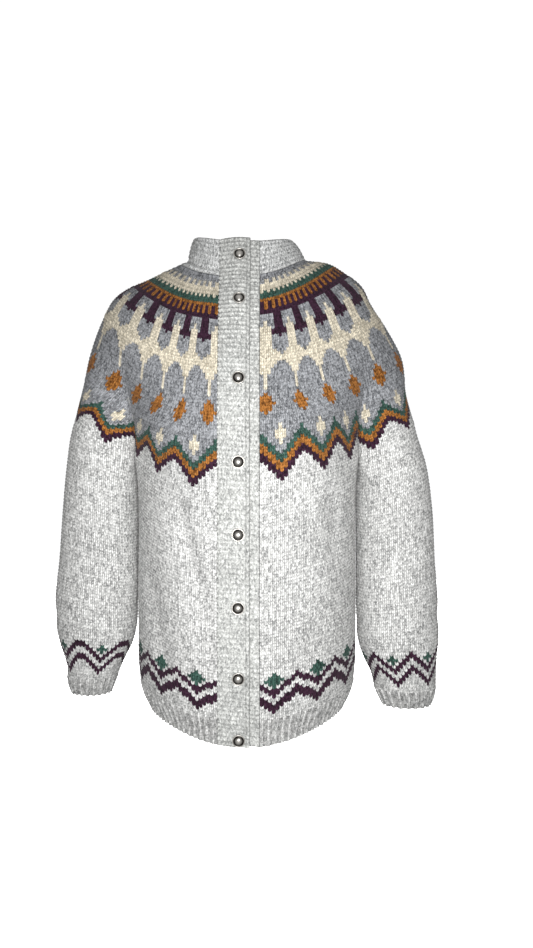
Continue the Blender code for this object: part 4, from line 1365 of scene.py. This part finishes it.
class CARDIGAN_OT_yoke(bpy.types.Operator):
    """Knit the patterned round yoke, up to the neckband"""

    bl_idname = "cardigan.yoke"
    bl_label = "Knit the yoke"

    def execute(self, context):
        lower = knit_yoke("knit_yoke_lower", 0, YOKE_SPLIT_ROW)
        upper = knit_yoke("knit_yoke_upper", YOKE_SPLIT_ROW, len(YOKE_CHART))
        finish_knit(context, lower, "yoke")
        finish_knit(context, upper, "yoke")
        return {"FINISHED"}


class CARDIGAN_OT_neckband(bpy.types.Operator):
    """Knit the ridged neckband"""

    bl_idname = "cardigan.neckband"
    bl_label = "Knit the neckband"

    def execute(self, context):
        finish_knit(context, knit_neckband(), "neckband")
        return {"FINISHED"}


class CARDIGAN_OT_bands(bpy.types.Operator):
    """Knit the buttonhole band with its edge chain, and the button band under it"""

    bl_idname = "cardigan.bands"
    bl_label = "Knit the front bands"

    def execute(self, context):
        over = knit_band("knit_buttonhole_band", BUTTONHOLE_BAND, BAND_STITCHES, 1)
        under = knit_band("knit_button_band", BUTTON_BAND, BAND_STITCHES - 1)
        finish_knit(context, over, "buttonhole_band")
        finish_knit(context, under, "button_band")
        return {"FINISHED"}


class CARDIGAN_OT_buttons(bpy.types.Operator):
    """Turn the metal buttons and sew them down the front"""

    bl_idname = "cardigan.buttons"
    bl_label = "Make the buttons"

    def execute(self, context):
        settings = context.scene.cardigan_buttons
        button, places = turned_button(), button_places()
        tree = sewn_on_tree(pewter("Antiqued pewter", settings.bright, settings.groove))
        run_tree(places, tree, {"Button": button, "Diameter": settings.diameter, "Turn": settings.turn,
                               "Seed": BUTTON_SEED})
        bpy.data.objects.remove(button)
        settle(places, [f"button_{n}" for n in range(1, 9)])
        return {"FINISHED"}


class CARDIGAN_OT_stage(bpy.types.Operator):
    """Set the pale floor, the soft lights and the camera"""

    bl_idname = "cardigan.stage"
    bl_label = "Set the stage"

    def execute(self, context):
        settings, scene = context.scene.cardigan_studio, context.scene
        floor = wide_floor()
        floor.data.materials.append(painted_board("Matt white board", settings.floor))
        for name, place, turn in LAMPS:
            soft_lamp(name, settings.lamp, LAMP_SIZE, LAMP_SPREAD, place, turn)
        # The floor is whitened by a lamp of its own, and gives none of that light back to the wool.
        over_floor = soft_lamp("Floor lamp", settings.floor_lamp, FLOOR_LAMP_SIZE, FLOOR_LAMP_SPREAD,
                               (0, 0, FLOOR_LAMP_HEIGHT), 0)
        over_floor.light_linking.receiver_collection = bpy.data.collections.new("Floor alone")
        over_floor.light_linking.receiver_collection.objects.link(floor)
        floor.visible_diffuse = floor.visible_glossy = False
        # The camera and the metal see a white room; the wool is lit by a dimmer one.
        scene.world = bpy.data.worlds.new("White studio")
        scene.world.use_nodes = True
        room = scene.world.node_tree
        room.nodes.clear()
        seen = add_node(room, "ShaderNodeLightPath")
        white = add_node(room, "ShaderNodeMath", {0: seen.outputs["Is Camera Ray"], 1: seen.outputs["Is Glossy Ray"]},
                         operation="ADD")
        strength = add_node(room, "ShaderNodeMapRange", {"Value": white.outputs[0], "To Min": settings.sky,
                                                         "To Max": WHITE_ROOM})
        sky = add_node(room, "ShaderNodeBackground", {"Color": (1, 1, 1, 1), "Strength": strength.outputs[0]})
        add_node(room, "ShaderNodeOutputWorld", {"Surface": sky.outputs[0]})
        camera = in_scene("Camera", bpy.data.cameras.new("Camera"))
        camera.data.sensor_fit, camera.data.sensor_height = "VERTICAL", SENSOR_HEIGHT
        camera.data.lens = FOCAL_LENGTH * SENSOR_HEIGHT / PHOTO_HEIGHT
        camera.location, camera.rotation_euler = CAMERA_PLACE, (math.radians(CAMERA_TILT), 0, 0)
        scene.camera = camera
        scene.view_settings.view_transform = "Standard"
        return {"FINISHED"}


class CARDIGAN_PT_panel(bpy.types.Panel):
    """The cardigan's settings and steps"""

    bl_idname = "CARDIGAN_PT_panel"
    bl_label = "Wool yoke cardigan"
    bl_space_type = "VIEW_3D"
    bl_region_type = "UI"
    bl_category = "Cardigan"

    def draw(self, context):
        for label, settings in SETTINGS.items():
            box = self.layout.box()
            box.label(text=settings.__doc__)
            group = getattr(context.scene, label)
            for name in settings.__annotations__:
                box.prop(group, name)
        for step in STEPS:
            self.layout.operator(step.bl_idname)


SETTINGS = {
    "cardigan_knit": KnitSettings,
    "cardigan_yarns": YarnSettings,
    "cardigan_buttons": ButtonSettings,
    "cardigan_studio": StudioSettings,
}
STEPS = (
    CARDIGAN_OT_body,
    CARDIGAN_OT_hem_rib,
    CARDIGAN_OT_sleeves,
    CARDIGAN_OT_yoke,
    CARDIGAN_OT_neckband,
    CARDIGAN_OT_bands,
    CARDIGAN_OT_buttons,
    CARDIGAN_OT_stage,
)


def register():
    """Adds the cardigan's settings, steps and panel to Blender."""
    for item in (*SETTINGS.values(), *STEPS, CARDIGAN_PT_panel):
        bpy.utils.register_class(item)
    for label, settings in SETTINGS.items():
        setattr(bpy.types.Scene, label, bpy.props.PointerProperty(type=settings))


def unregister():
    """Takes them out again."""
    for label in SETTINGS:
        delattr(bpy.types.Scene, label)
    for item in (CARDIGAN_PT_panel, *STEPS[::-1], *list(SETTINGS.values())[::-1]):
        bpy.utils.unregister_class(item)


def main():
    """Makes every piece, then the stage."""
    register()
    for step in STEPS:
        name = step.bl_idname.split(".")[1]
        if getattr(bpy.ops.cardigan, name)() != {"FINISHED"}:
            raise RuntimeError(step.bl_label + " was cancelled")
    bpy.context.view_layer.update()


if __name__ == "__main__":
    main()
